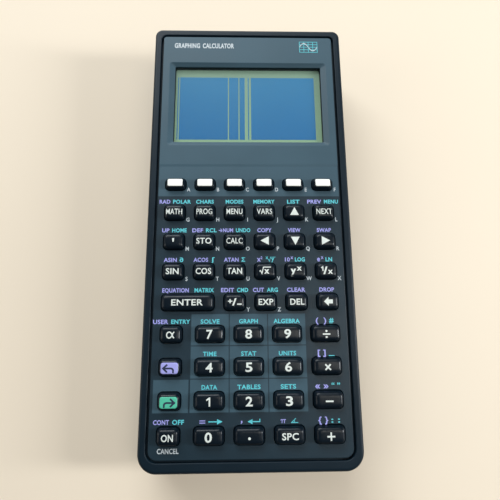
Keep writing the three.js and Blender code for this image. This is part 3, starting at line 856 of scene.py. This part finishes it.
class Ink:
    """Thin printed marks of one colour on one body, drawn from a point that moves."""

    def __init__(self, name, material, surface, body="root"):
        self.name = name
        self.material = material
        self.surface = surface
        self.body = body
        self.bm = bmesh.new()

    def draw(self, x, y, marks):
        """Draws marks from a point. Each is the name of a method and what it needs."""
        self.x = x
        self.y = y
        for method, *values in marks:
            getattr(self, method)(*values)

    def add(self, points, faces):
        """Lays flat faces on the surface as a film that is sunk a little into it."""
        bm = bmesh.new()
        verts = [bm.verts.new((*p, 0)) for p in points]
        for face in faces:
            try:
                bm.faces.new([verts[i] for i in face])
            except ValueError:
                continue
        bmesh.ops.remove_doubles(bm, verts=bm.verts[:], dist=1e-4)
        bmesh.ops.triangulate(bm, faces=bm.faces[:])
        for _ in range(2):
            long_edges = [e for e in bm.edges if e.calc_length() > LONG_EDGE]
            if long_edges:
                bmesh.ops.subdivide_edges(bm, edges=long_edges, cuts=1)
                bmesh.ops.triangulate(bm, faces=bm.faces[:])
        bmesh.ops.recalc_face_normals(bm, faces=bm.faces[:])
        if sum(f.normal.z * f.calc_area() for f in bm.faces) < 0:
            bmesh.ops.reverse_faces(bm, faces=bm.faces[:])
        top, bottom = {}, {}
        for vert in bm.verts:
            x, y = vert.co.xy
            z = self.surface(x, y)
            top[vert] = self.bm.verts.new((x, y, z + FILM_TOP))
            bottom[vert] = self.bm.verts.new((x, y, z - FILM_SUNK))
        for face in bm.faces:
            self.bm.faces.new([top[v] for v in face.verts])
            self.bm.faces.new([bottom[v] for v in reversed(face.verts)])
        for edge in bm.edges:
            if edge.is_boundary:
                loop = edge.link_loops[0]
                a, b = loop.vert, loop.link_loop_next.vert
                self.bm.faces.new((top[b], top[a], bottom[a], bottom[b]))
        bm.free()

    def text(self, text, height, x, y, width=None, bold=0.03, anchor=0):
        """Text whose capitals are height tall, from its left end and baseline, or squeezed to a
        width. An anchor of 0.5 puts its middle at x."""
        points, faces = letter_mesh(text, bold)
        right = max(p.x for p in points)
        stretch = width / right if width else height * 0.86
        x = self.x + x - anchor * right * stretch
        y += self.y
        self.add([(x + p.x * stretch, y + p.y * height) for p in points], faces)

    def shape(self, corners):
        """A filled polygon, its corners anticlockwise."""
        corners = [(self.x + a, self.y + b) for a, b in corners]
        loop = [Vector((*c, 0)) for c in corners]
        self.add(corners, geometry.tessellate_polygon([loop]))

    def stroke(self, points, thick):
        """A band of even width along a bent line."""
        line = [Vector(p) for p in points]
        left, right = [], []
        for i, point in enumerate(line):
            runs = (point - line[max(i - 1, 0)], line[min(i + 1, len(line) - 1)] - point)
            sides = [run.normalized().orthogonal() for run in runs if run.length]
            out = sum(sides, Vector((0, 0))).normalized()
            out *= thick / 2 / max(out.dot(sides[0]), 0.4)
            left.append(point + out)
            right.append(point - out)
        self.shape(right + left[::-1])

    def bar(self, left, right, y, thick):
        low, high = y - thick / 2, y + thick / 2
        self.shape(((left, low), (right, low), (right, high), (left, high)))

    def circle(self, y, radius):
        self.shape([(a, y + b) for a, b in circle_points(20, radius, radius)])

    def cross(self, degrees):
        corners = []
        for quarter in range(4):
            side = spun(degrees, "Z", 2) @ spun(90 * quarter, "Z", 2)
            corners += [side @ Vector(c) for c in ((1.4, -0.28), (1.4, 0.28), (0.28, 0.28))]
        self.shape([(c.x, c.y - 0.2) for c in corners])

    def arrow(self, degrees):
        corners = [spun(degrees, "Z", 2) @ Vector(c) for c in ((-1.7, -1.5), (1.7, -1.5), (0, 1.75))]
        self.shape([(c.x, c.y) for c in corners])

    def bent_arrow(self, side):
        """Up from the near edge of a key, then out to one side."""
        stem = [(-2.0, -0.1), (0.7, -0.1), (1.2, -0.3), (1.45, -0.75), (1.45, -1.75)]
        head = [(-0.7, 1.25), (-2.2, -0.1), (-0.7, -1.45)]
        for line in (stem, head):
            self.stroke([(side * a, b) for a, b in line], 0.62)

    def finish(self):
        piece = link_mesh(self.name, self.bm)
        piece.data.transform(FACE)
        piece.data.materials.append(self.material)
        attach(piece, self.body)


def surface_of(piece):
    """Height of a piece's upper surface over a point of the face."""
    back = FACE.inverted()
    faces = [tuple(p.vertices) for p in piece.data.polygons]
    tree = BVHTree.FromPolygons([back @ v.co for v in piece.data.vertices], faces)

    def height(x, y):
        hit = tree.ray_cast(Vector((x, y, 20)), Vector((0, 0, -1)))
        return hit[0].z if hit[0] else 0

    return height


# the word on a key and its width
CAPTIONS = {
    "maths": ("MATH", 6.3), "program": ("PROG", 6.2), "custom": ("MENU", 6.3), "variables": ("VARS", 6.1),
    "next": ("NEXT", 6.2), "store": ("STO", 5.9), "evaluate": ("CALC", 6.3), "sine": ("SIN", 4.9),
    "cosine": ("COS", 5.9), "tangent": ("TAN", 5.8), "exponent": ("EXP", 5.6), "delete": ("DEL", 5.4),
    "enter": ("ENTER", 11.8), "space": ("SPC", 5.9), "on": ("ON", 4.2),
}

# The other marks on top of the keys, each from a point a little nearer than the key's middle.
# After a text come its height, x, y, width and boldness, and after a line its thickness.
ALPHA_BOW = ((-1.3, 0), (-1.2, 0.5), (-0.9, 0.92), (-0.4, 1.12), (0.1, 0.92), (0.5, 0.45), (0.75, 0))
ALPHA_BOW += ((0.98, -0.6), (1.45, -1.15))
MINUS = ("bar", -1.4, 1.4, -0.2, 0.54)
ONE = [(0, -1.5), (0.55, -1.5), (0.55, 1.6), (0.1, 1.6), (-0.85, 0.95), (-0.85, 0.4), (0, 0.8)]
BACK_ARROW = [(0, -1.7), (0, -0.75), (1.6, -0.75), (1.6, 0.75), (0, 0.75), (0, 1.7), (-1.75, 0)]
KEY_MARKS = {
    "1": [("shape", ONE)],
    "alpha": [("stroke", [(a, way * b - 0.1) for a, b in ALPHA_BOW], 0.44) for way in (-1, 1)],
    "quote": [("shape", [(-0.42, 1.1), (-0.2, -0.4), (0.2, -0.4), (0.42, 1.1)])],
    "arrow_up": [("arrow", 0)],
    "arrow_left": [("arrow", 90)],
    "arrow_down": [("arrow", 180)],
    "arrow_right": [("arrow", 270)],
    "square_root": [
        ("stroke", [(-2.3, -0.2), (-1.85, 0.05), (-1.35, -1.1), (-0.75, 1.4), (2.1, 1.4)], 0.36),
        ("text", "x", 2.3, -0.5, -1.05, 2.0, 0.035),
    ],
    "power": [("text", "y", 2.6, -2.2, -1.1, 2.1, 0.035), ("text", "x", 2.0, 0.2, 0.1, 1.9, 0.035)],
    "reciprocal": [
        ("stroke", [(-2.25, 1.0), (-1.6, 1.45), (-1.6, -0.2)], 0.42),
        ("text", "/", 2.7, -1.5, -1.3, 1.7),
        ("text", "x", 2.0, 0.3, -1.2, 1.9, 0.035),
    ],
    "sign": [
        ("text", "+", 2.0, -2.5, -0.7, 1.7),
        ("text", "/", 2.5, -0.9, -1.2, 1.7),
        ("bar", 1.0, 2.7, -0.8, 0.48),
    ],
    "backspace": [("shape", BACK_ARROW)],
    "decimal": [("circle", -0.5, 0.48)],
    "subtract": [MINUS],
    "divide": [MINUS, ("circle", 0.9, 0.4), ("circle", -1.3, 0.4)],
    "multiply": [("cross", 45)],
    "add": [("cross", 0)],
    "shift_left": [("bent_arrow", 1)],
    "shift_right": [("bent_arrow", -1)],
}

# what each shift key adds: the lavender word, then the teal one
SHIFTED = {
    "maths": ("RAD", "POLAR"), "program": ("", "CHARS"), "custom": ("", "MODES"),
    "variables": ("", "MEMORY"), "arrow_up": ("", "LIST"), "next": ("PREV", "MENU"),
    "quote": ("UP", "HOME"), "store": ("DEF", "RCL"),
    "evaluate": ("\u2192NUM", "UNDO"), "arrow_left": ("COPY", ""), "arrow_down": ("VIEW", ""),
    "arrow_right": ("SWAP", ""), "sine": ("ASIN", "\u2202"), "cosine": ("ACOS", "\u222b"),
    "tangent": ("ATAN", "\u03a3"), "enter": ("EQUATION", "MATRIX"), "sign": ("EDIT", "CMD"),
    "exponent": ("CUT", "ARG"), "delete": ("CLEAR", ""), "backspace": ("DROP", ""),
    "alpha": ("USER", "ENTRY"), "7": ("", "SOLVE"), "8": ("", "GRAPH"), "9": ("", "ALGEBRA"),
    "divide": ("(  )", "#"),
    "4": ("", "TIME"), "5": ("", "STAT"), "6": ("", "UNITS"), "multiply": ("[ ]", "_"),
    "1": ("", "DATA"), "2": ("", "TABLES"), "3": ("", "SETS"), "on": ("CONT", "OFF"),
    "subtract": ("\u00ab \u00bb", "\u201c \u201d"), "add": ("{ }", ": :"),
}

# Powers, roots and arrows above a key, from its baseline: the lavender marks, then the teal ones.
ANGLE_LEGS = [("stroke", [(leg, 1.2), (leg - 0.1, 0)], 0.26) for leg in (-2.55, -1.7)]
SMALL_MARKS = {
    "square_root": (
        [("text", "x", 2.0, -3.1, 0, None, 0.02), ("text", "2", 1.05, -1.6, 0.95, None, 0.02)],
        [
            ("text", "x", 1.3, 0.3, 1.0, None, 0.02),
            ("stroke", [(1.2, 0.7), (1.5, 0.8), (1.8, 0), (2.2, 1.7), (4.1, 1.7)], 0.2),
            ("text", "y", 1.7, 2.5, 0.25, None, 0.02),
        ],
    ),
    "power": (
        [("text", "10", 1.5, -4.0, 0, 1.9, 0.02), ("text", "x", 1.4, -1.8, 0.95, None, 0.02)],
        [("text", "LOG", 1.5, -0.1, 0, 3.9)],
    ),
    "reciprocal": (
        [("text", "e", 2.0, -3.2, 0, None, 0.02), ("text", "x", 1.4, -1.7, 0.95, None, 0.02)],
        [("text", "LN", 1.5, 0.1, 0, 2.6)],
    ),
    "space": (
        [("stroke", [(-3.1, 0.95), (-2.9, 1.2), (-1.2, 1.2)], 0.26)] + ANGLE_LEGS,
        [
            ("stroke", [(2.4, 1.6), (0.8, 0.15), (3.2, 0.15)], 0.26),
            ("stroke", [(1.6, 0.2), (1.95, 0.6), (1.8, 1.1)], 0.2),
        ],
    ),
    "0": (
        [("bar", -3.4, -1.3, 0.38, 0.32), ("bar", -3.4, -1.3, 1.12, 0.32)],
        [("bar", -0.2, 3.0, 0.75, 0.36), ("shape", [(2.9, -0.15), (4.9, 0.75), (2.9, 1.65)])],
    ),
    "decimal": (
        [("text", ",", 2.0, -3.0, 0.5, None, 0.05)],
        [
            ("bar", 1.0, 4.0, 0.65, 0.36),
            ("shape", [(-0.6, 0.65), (1.2, -0.2), (1.2, 1.5)]),
            ("shape", [(3.7, 0.8), (4.0, 0.8), (4.0, 1.6), (3.7, 1.6)]),
        ],
    ),
}

LETTER_KEYS = (
    "menu_1 menu_2 menu_3 menu_4 menu_5 menu_6 maths program custom variables arrow_up next quote store"
    " evaluate arrow_left arrow_down arrow_right sine cosine tangent square_root power reciprocal sign"
    " exponent"
).split()


def key_marks(name):
    """The marks on top of a key."""
    if name in CAPTIONS:
        word, width = CAPTIONS[name]
        return [("text", word, 2.2, 0, -1.1, width, 0.012 if len(word) == 4 else 0.02, 0.5)]
    if name.isdigit() and name != "1":
        return [("text", name, 3.1, 0, -1.5, 2.3 if name == "7" else 2.55, 0.022, 0.5)]
    return KEY_MARKS[name]


CAPTION_DROP = 0.15  # key tops are marked this much nearer than their middle
LEGEND_RISE = 0.75  # from a key's far edge to the baseline of what is printed above it
LEGEND_TALL = 1.5
SIGN_TALL = 1.85


def make_lettering(plate_surface, key_tops):
    colours = (("white", INK_GREY), ("lavender", INK_LAVENDER), ("teal", INK_TEAL))
    white, *shifts = (Ink(name + "_lettering", ink, plate_surface) for name, ink in colours)
    for node in KEY_NODES:
        name = node[4:]
        x, y, width, length, _ = key_place(node)
        if not name.startswith("menu"):
            ink = Ink(node + "_mark", INK_DARK if node in KEY_TOPS else INK_WHITE, key_tops[node], node)
            ink.draw(x, y - CAPTION_DROP, key_marks(name))
            ink.finish()
        baseline = y + length / 2 + LEGEND_RISE
        words = [(ink, word) for ink, word in zip(shifts, SHIFTED.get(name, ())) if word]
        widths = [word_width(word) for _, word in words]
        gap = 2.2 if name == "enter" else 1.1
        left = x - (sum(widths) + gap * (len(words) - 1)) / 2
        tall = SIGN_TALL if name in ("divide", "multiply", "subtract", "add") else LEGEND_TALL
        for (ink, word), wide in zip(words, widths):
            ink.draw(left, baseline, [("text", word, tall, 0, 0, wide, 0.026)])
            left += wide + gap
        for ink, marks in zip(shifts, SMALL_MARKS.get(name, ())):
            ink.draw(x, baseline, marks)
        if name in LETTER_KEYS:
            letter = chr(ord("A") + LETTER_KEYS.index(name))
            mark = ("text", letter, LEGEND_TALL, 0, 0, None, 0.022, 0.5)
            white.draw(x + width / 2 + 1.1, y - length / 2 - 0.4, [mark])
    x, y, _, length, _ = key_place("key_on")
    white.draw(x, y - length / 2 - 2.6, [("text", "CANCEL", 1.6, 0, 0, 7.6, 0.022, 0.5)])
    emblem(white, shifts[1])
    for ink in (white, *shifts):
        ink.finish()


def emblem(white, teal):
    """A generic heading at the top left, and a small plotted curve on a grid at the top right."""
    words = [("text", "GRAPHING", 2.2, -31.9, 170.6, 11.0)]
    words.append(("text", "CALCULATOR", 2.2, -19.7, 170.6, 13.6))
    left, right, low, high = 22.6, 30.4, 168.9, 174.0
    grid = []
    for i in range(5):
        x = left + (right - left) * i / 4
        grid.append(("shape", [(x - 0.1, low), (x + 0.1, low), (x + 0.1, high), (x - 0.1, high)]))
        grid.append(("bar", left - 0.1, right + 0.1, low + (high - low) * i / 4, 0.2))
    teal.draw(0, 0, grid)
    steps = [i / 16 for i in range(17)]
    curve = [(left + (right - left) * t, (low + high) / 2 + 1.8 * sin(2 * pi * t)) for t in steps]
    band = [(x, y - 0.25) for x, y in curve] + [(x, y + 0.25) for x, y in reversed(curve)]
    white.draw(0, 0, words + [("shape", band)])


WIDTHS = {
    "EQUATION": 10.1, "MATRIX": 7.4, "(  )": 4.0, "[ ]": 3.0, "{ }": 3.6, "_": 2.2, ": :": 3.2, "#": 1.7,
    "\u00ab \u00bb": 5.0, "\u201c \u201d": 3.2,
}


def word_width(word):
    if word in WIDTHS:
        return WIDTHS[word]
    narrow = sum(c in "I ()[]{}/," for c in word)
    return 1.42 * (len(word) - 0.45 * narrow)


# ---------- rear shell, door, cover and what is under them ----------
# These are drawn in millimetres on the underside: y from below the face's near edge, z up
# from the table. The feet raise the underside by UNDERSIDE.
UNDERSIDE = 0.9
FLOOR = 2.9
UNDER_EDGE = 2.2
LEAN = 0.6
NEAR = -PARTING * sin(TILT)
FAR = NEAR + CASE_LENGTH * cos(TILT)
WALL_TOP = FACE_HEIGHT + PARTING
GAP = 0.3
TONGUE = 1.5
SKIN_TOP = UNDERSIDE + 0.8
TONGUE_TOP = SKIN_TOP + 0.8
SLOT_TOP = TONGUE_TOP + GAP
CEILING = 13.6


def on_base(node):
    low, high = span(node, Matrix())
    shift = Vector((0, BASE_PLACE.y, 0))
    return low - shift, high - shift


DOOR_LOW, DOOR_HIGH = on_base("battery_door")
COVER_LOW, COVER_HIGH = on_base("card_port_cover")
CELLS_LOW, CELLS_HIGH = on_base("battery_cells")
DOOR_HALF = DOOR_HIGH.x - TONGUE
COVER_HALF = COVER_HIGH.x - TONGUE
CARD_HALF = COVER_HALF - 2
ROOF = 0.8
CARD_MOUTH = CARD_HALF + ROOF
WALL = 2.4
BAY_WALL = 1.2
PAST = 20  # how far a cutter runs past the case
CARD_FAR = FAR - WALL
CARD_NEAR = CARD_FAR - 48
CARD_TOP = SLOT_TOP + 10
BAY_FLOOR = 3.3
BAY_NEAR = 22.0
BAY_FAR = DOOR_HIGH.y - 3
PLAIN_RECESS = (19, 74, 112)  # half width, near and far end, between the two panels
FOOT_X = CASE_WIDTH / 2 - 6.7
FOOT_Y = (NEAR + 8.5, FAR - 8.5)
FOOT_RADIUS = 3.2


def plane_z(y, depth):
    """Height of the plane that lies this deep under the tilted face."""
    return FACE_HEIGHT + y * tan(TILT) + depth / cos(TILT)


def base_ring(side, z=0.0, depth=None):
    near_radius, far_radius = (max(r - side, 0.6) for r in (NEAR_RADIUS, FAR_RADIUS))
    points = outline(CASE_WIDTH / 2 - side, NEAR + side, FAR - side, near_radius, far_radius, 12)
    if depth is None:
        return ring(points, z)
    return [Vector((x, y, plane_z(y, depth))) for x, y in points]


def underside_rings():
    rings = []
    for inward, drop in quarter_arc(9):
        rings.append(base_ring(LEAN + UNDER_EDGE * inward, UNDERSIDE + UNDER_EDGE * drop))
    return rings


def raw_body(rings):
    """A closed stack of rings in millimetres, for cutting and joining."""
    bm = bmesh.new()
    for loop in stack(bm, rings):
        bm.faces.new(loop)
    bmesh.ops.recalc_face_normals(bm, faces=bm.faces[:])
    return link_mesh("raw", bm)


def plate_body(half, near, far, levels, radius=0.8, x=0.0, steps=5):
    """A raw body: a rounded rectangle with a height and an inset at each level."""
    rings = []
    for z, inset in levels:
        points = outline(half - inset, near + inset, far - inset, *[max(radius - inset, 0.1)] * 2, steps)
        rings.append(ring(points, z, x))
    return raw_body(rings)


def block_body(half, near, far, low, high):
    corners = [(half, near), (half, far), (-half, far), (-half, near)]
    return raw_body([ring(corners, low), ring(corners, high)])


def circle_points(count, reach_x, reach_y):
    angles = [2 * pi * i / count for i in range(count)]
    return [(reach_x * cos(a), reach_y * sin(a)) for a in angles]


def cut(*bodies):
    return [("DIFFERENCE", body) for body in bodies]


def join(*bodies):
    return [("UNION", body) for body in bodies]


def combine(name, body, steps, matrix, *materials):
    """Joins, cuts or intersects raw bodies in turn, then places what is left."""
    for number, (operation, other) in enumerate(steps):
        modifier = body.modifiers.new(f"step_{number}", "BOOLEAN")
        modifier.operation = operation
        modifier.solver = "MANIFOLD"
        modifier.object = other
    bm = bmesh.new()
    bm.from_mesh(plain_mesh(body))
    for _, other in steps:
        bpy.data.objects.remove(other)
    bpy.data.objects.remove(body)
    bmesh.ops.dissolve_limit(bm, angle_limit=radians(0.5), verts=bm.verts[:], edges=bm.edges[:])
    bmesh.ops.triangulate(bm, faces=[f for f in bm.faces if len(f.verts) > 4])
    for face in bm.faces:
        face.material_index = 0
    return finish_mesh(name, bm, matrix, *materials, sharp=32, heal=False)


def slot_cutters(half, near, far):
    """The opening a sliding panel fills, with a chamfered mouth, and its tongue grooves."""
    chamfer = [(-1, -0.3), (UNDERSIDE, -0.3), (UNDERSIDE + 0.3, 0), (SLOT_TOP, 0)]
    groove = block_body(half + TONGUE + GAP, near, far, UNDERSIDE + 0.5, SLOT_TOP)
    return cut(plate_body(half + GAP, near, far, chamfer), groove)


def make_rear_shell():
    rings = underside_rings()
    rings.append(base_ring(0.02, depth=PARTING - GAP - 0.12))
    for side, depth in ((0.12, -GAP), (2.5, -GAP), (2.5, 1.2), (3.8, 1.2), (3.8, -2.8), (3.0, -2.8)):
        rings.append(base_ring(side, depth=PARTING + depth))
    rings.append(base_ring(3.0, FLOOR))
    pad = TONGUE + GAP + 1
    bay_half = DOOR_HALF + BAY_WALL
    steps = join(
        block_body(DOOR_HALF + pad, NEAR + WALL, DOOR_HIGH.y + 2, FLOOR - 1, SLOT_TOP + 1),
        block_body(COVER_HALF + pad, COVER_LOW.y - 2, FAR - WALL, FLOOR - 1, SLOT_TOP + 1),
        block_body(bay_half, BAY_NEAR - BAY_WALL, BAY_FAR + BAY_WALL, BAY_FLOOR, CEILING + ROOF),
        block_body(CARD_HALF + BAY_WALL, CARD_NEAR, FAR - WALL, BAY_FLOOR, CARD_TOP + ROOF),
    )
    steps += slot_cutters(DOOR_HALF, NEAR - PAST, DOOR_HIGH.y + GAP)
    steps += slot_cutters(COVER_HALF, COVER_LOW.y - GAP, FAR + PAST)
    steps += cut(
        block_body(DOOR_HALF, BAY_NEAR, BAY_FAR, 0, CEILING),
        block_body(CARD_HALF, CARD_NEAR - PAST, CARD_FAR + 0.1, SLOT_TOP, CARD_TOP),
        block_body(CARD_HALF, COVER_LOW.y + 3, CARD_FAR, 0, CARD_TOP),
        block_body(CARD_MOUTH, CARD_FAR, FAR + PAST, 0, CARD_TOP + ROOF),
        plate_body(*PLAIN_RECESS, [(0, -0.3), (UNDERSIDE, -0.3), (1.2, 0), (1.25, 0)], 1.5),
    )
    hole = circle_points(40, FOOT_RADIUS + 0.3, FOOT_RADIUS + 0.3)
    for x in (-FOOT_X, FOOT_X):
        for y in FOOT_Y:
            steps += cut(raw_body([ring(hole, -1, x, y), ring(hole, 6, x, y)]))
    shell = combine("rear_shell", raw_body(rings), steps, BASE, CASE_GREY)
    fit(shell, "root", "case_dark", "rear_case")


def outer_form():
    return raw_body(underside_rings() + [base_ring(0, WALL_TOP), base_ring(0, WALL_TOP + 12)])


def rib_tree():
    """A row of half-round grip ribs. Each one is shorter than the last, like an arrowhead."""
    tree = Tree("grip_ribs", "Count", "Pitch, Length, Taper, Radius")
    half = tree["Length"] * 0.5
    ends = {"Start": tree.vector(half * -1, 0, 0), "End": tree.vector(half, 0, 0)}
    bar = tree.tube(tree.node("CurvePrimitiveLine", ends), tree["Radius"], 12)
    index = Field(tree.tree, tree.node("InputIndex").outputs[0])
    shorter = tree.vector(index * tree["Taper"] * -1 + 1, 1.0, 1.0)
    return tree.close(tree.row(bar, shorter))


RIBS = rib_tree()


def make_ribs(name, body, matrix, count, pitch, length, taper, radius):
    sizes = {"Count": count, "Pitch": pitch, "Length": length, "Taper": taper, "Radius": radius}
    fit(grow(name, RIBS, BASE @ matrix, CASE_GREY, 60, **sizes), body, "case_dark")


def scoop(y):
    """A raw shallow dish let into the underside."""
    rings = []
    for i in range(9):
        angle = radians(90 * i / 8)
        share = max(cos(angle), 0.02)
        points = circle_points(48, 13 * share, 7.5 * share)
        rings.append(ring(points, UNDERSIDE + 0.6 * sin(angle), 0, y))
    below = [Vector((p.x, p.y, UNDERSIDE - 1)) for p in rings[0]]
    return raw_body([below] + rings)


def make_panel(name, body, half, near, far, dish, ribs, *extra):
    """A sliding panel: its skin and tongues, and ribs in a finger dish that point outwards."""
    edge = [(0, 0.3), (UNDERSIDE, 0.3), (UNDERSIDE + 0.3, 0), (SKIN_TOP + 0.1, 0)]
    tongues = block_body(half + TONGUE, near, far, SKIN_TOP, TONGUE_TOP)
    steps = join(tongues, *extra) + [("INTERSECT", outer_form())] + cut(scoop(dish))
    panel = combine(name + "_panel", plate_body(half, near, far, edge, 0.7), steps, BASE, CASE_GREY)
    fit(panel, body, "case_dark", body)
    make_ribs(name + "_ribs", body, ribs, 6, 1.7, 19, 0.13, 0.34)


def make_door():
    ribs = move(0, 51.3, UNDERSIDE + 0.42) @ spun(180, "Z")
    make_panel("battery_door", "battery_door", DOOR_HALF, NEAR - PAST, DOOR_HIGH.y, 47, ribs)


def make_cover():
    plug = block_body(CARD_MOUTH - GAP, CARD_FAR + GAP, FAR + PAST, SKIN_TOP, CARD_TOP + ROOF - GAP)
    ribs = move(0, 145.7, UNDERSIDE + 0.42)
    make_panel("card_cover", "card_port_cover", COVER_HALF, COVER_LOW.y, FAR + PAST, 150, ribs, plug)
    place = move(0, FAR + 0.02, 5.2) @ spun(90, "X")
    make_ribs("card_cover_end_ribs", "card_port_cover", place, 5, 1.4, 30, 0.0, 0.3)


def turned(name, profile, matrix, material):
    """A solid of revolution about z. The profile is (radius, z) pairs that close on the axis."""
    bm = bmesh.new()
    sizes = [(max(radius, 1e-3), z) for radius, z in profile]
    for loop in stack(bm, [ring(circle_points(36, radius, radius), z) for radius, z in sizes]):
        bm.faces.new(loop)
    return finish_mesh(name, bm, matrix, material)


def make_feet():
    top = FLOOR + GAP + 0.6
    edge = ((1.1, 0), (0.75, 0.12), (0.45, 0.2), (0.15, 0.33), (0.02, 0.6), (0, 1.0), (0, top))
    profile = [(0, 0)] + [(FOOT_RADIUS - inset, z) for inset, z in edge] + [(0, top)]
    for side, x in (("left", -FOOT_X), ("right", FOOT_X)):
        for end, y in zip(("near", "far"), FOOT_Y):
            foot = turned(f"foot_{end}_{side}", profile, BASE @ move(x, y), RUBBER)
            fit(foot, "root", "foot_rubber", "rubber_feet")
    low = FLOOR + GAP
    web = plate_body(FOOT_X + 1.7, *FOOT_Y, [(low, 0.1), (low + 0.1, 0), (top, 0)])
    openings = [plate_body(FOOT_X - 1.7, near, far, [(0, 0), (9, 0)]) for near, far in ((4, 94), (98, 178))]
    fit(combine("foot_web", web, cut(*openings), BASE, RUBBER), "root", "foot_rubber", "rubber_feet")


def spring_tree():
    """Coil springs in a row, each a wire that follows a tapering spiral."""
    tree = Tree("contact_springs", "Count", "Pitch, Wire, Wide, Narrow, Height, Turns")
    coil = {"Resolution": 20, "Rotations": tree["Turns"], "Height": tree["Height"]}
    coil.update({"Start Radius": tree["Wide"], "End Radius": tree["Narrow"]})
    return tree.close(tree.row(tree.tube(tree.node("CurveSpiral", coil), tree["Wire"], 8)))


def make_cells():
    radius, half, pitch = 5.25, 22.25, 10.9
    z = SLOT_TOP + radius
    first = BAY_NEAR + GAP + 0.4 + radius
    base = ((0, 0.15), (radius - 0.9, 0.15), (radius - 0.5, 0), (radius - 0.1, 0.1), (radius, 0.4))
    tip = ((radius, 1.6), (radius - 0.15, 1.25), (radius - 0.6, 1.05), (1.9, 1.0))
    tip += ((1.85, 0.2), (1.6, 0), (0, 0))
    can = [(r, -half + inset) for r, inset in base] + [(r, half - inset) for r, inset in tip]
    for i in range(3):
        place = BASE @ move(0, first + i * pitch, z) @ spun(90 if i % 2 else -90, "Y")
        fit(turned(f"cell_{i + 1}", can, place, CELL_WRAP), "root", "cell_wrap", "battery_cells")
    levels = [(z - 3, 0.08), (z - 2.9, 0), (z + 2.9, 0), (z + 3, 0.08)]
    for side, name, middle in ((-1, "left", first), (1, "right", first + pitch)):
        plate = plate_body(0.3, middle - 3, middle + 3 + pitch, levels, 0.2)
        plate.data.transform(move(side * (half + 0.3), 0))
        contact = combine(f"contact_{name}", plate, [], BASE, CONTACT_METAL)
        fit(contact, "root", "cell_wrap", "battery_cells")
        place = BASE @ move(side * half, middle, z) @ spun(90 * side, "Y")
        coil = {"Wire": 0.25, "Wide": 1.5, "Narrow": 3.2, "Height": 3.6, "Turns": 3.5}
        coil.update(Count=2, Pitch=pitch)
        springs = grow(f"contact_springs_{name}", spring_tree(), place, CONTACT_METAL, 40, **coil)
        fit(springs, "root", "cell_wrap")


# ---------- camera, light and floor ----------
def make_camera():
    data = bpy.data.cameras.new("camera")
    data.sensor_width = 36
    data.lens = 29.7
    eye = Vector((-3.88, 46.56, 157.92))
    aim = Vector((0.13, 80.4, 0))
    forward = (aim - eye).normalized()
    right = forward.cross(Vector((0, 1, 0))).normalized()
    right = Matrix.Rotation(radians(0.5), 3, forward) @ right
    up = right.cross(forward)
    turn = Matrix((right, up, -forward)).transposed().to_4x4()
    camera = link_object("camera", data)
    camera.matrix_world = FACE_TURN @ Matrix.Translation((FACE_ORIGIN + eye) * MM) @ turn
    scene.camera = camera


# name, place, size in metres, watts and colour of each lamp. They all point at the object.
LAMPS = (
    ("window_light", (-0.3, 0.85, 0.62), (1.0, 0.5), 13.5, (0.92, 0.97, 1)),
    ("right_strip", (0.7, -0.06, 0.36), (0.09, 0.26), 5.5, (0.95, 0.98, 1)),
    ("overhead_right", (0.3, -0.08, 0.95), (0.17, 0.5), 1.8, (1, 0.95, 0.86)),
    ("far_card", (0, 0.5, 0.85), (1.1, 0.45), 1.3, (0.94, 0.98, 1)),
    ("left_fill", (-0.8, -0.1, 0.3), (0.3, 0.8), 1.8, (1, 0.97, 0.93)),
)


def make_studio():
    bpy.ops.mesh.primitive_plane_add(size=6, location=(0, 0, 0))
    floor = bpy.context.object
    floor.name = "floor"
    ground = Finish("pale_floor", Roughness=0.75)
    pale = srgb(216, 202, 182)
    ground.join(Base_Color=ground.mix(ground.noise(8), shade(pale, 0.98), shade(pale, 1.02)))
    floor.data.materials.append(ground.material)
    world = bpy.data.worlds.new("studio")
    world.use_nodes = True
    sky = world.node_tree.nodes["Background"].inputs
    sky[0].default_value = (0.86, 0.93, 1, 1)
    sky[1].default_value = 0.13
    scene.world = world
    for name, place, size, watts, colour in LAMPS:
        data = bpy.data.lights.new(name, "AREA")
        data.shape = "RECTANGLE"
        data.size, data.size_y = size
        data.energy = watts
        data.color = colour
        lamp = link_object(name, data)
        lamp.location = place
        lamp.rotation_euler = (-lamp.location).to_track_quat("-Z", "Y").to_euler()
    scene.view_settings.view_transform = "Standard"


make_camera()
make_studio()
make_front_shell()
make_ports()
make_rear_shell()
make_door()
make_cover()
make_feet()
make_cells()
make_display()
for cad_node, cad_material in (("circuit_board", CIRCUIT), ("key_mat", MAT_RUBBER)):
    frame["nodes"][cad_node].data.materials.clear()
    frame["nodes"][cad_node].data.materials.append(cad_material)
plate_height = surface_of(make_face_plate())
make_lettering(plate_height, {node: surface_of(make_key(node)) for node in KEY_NODES})
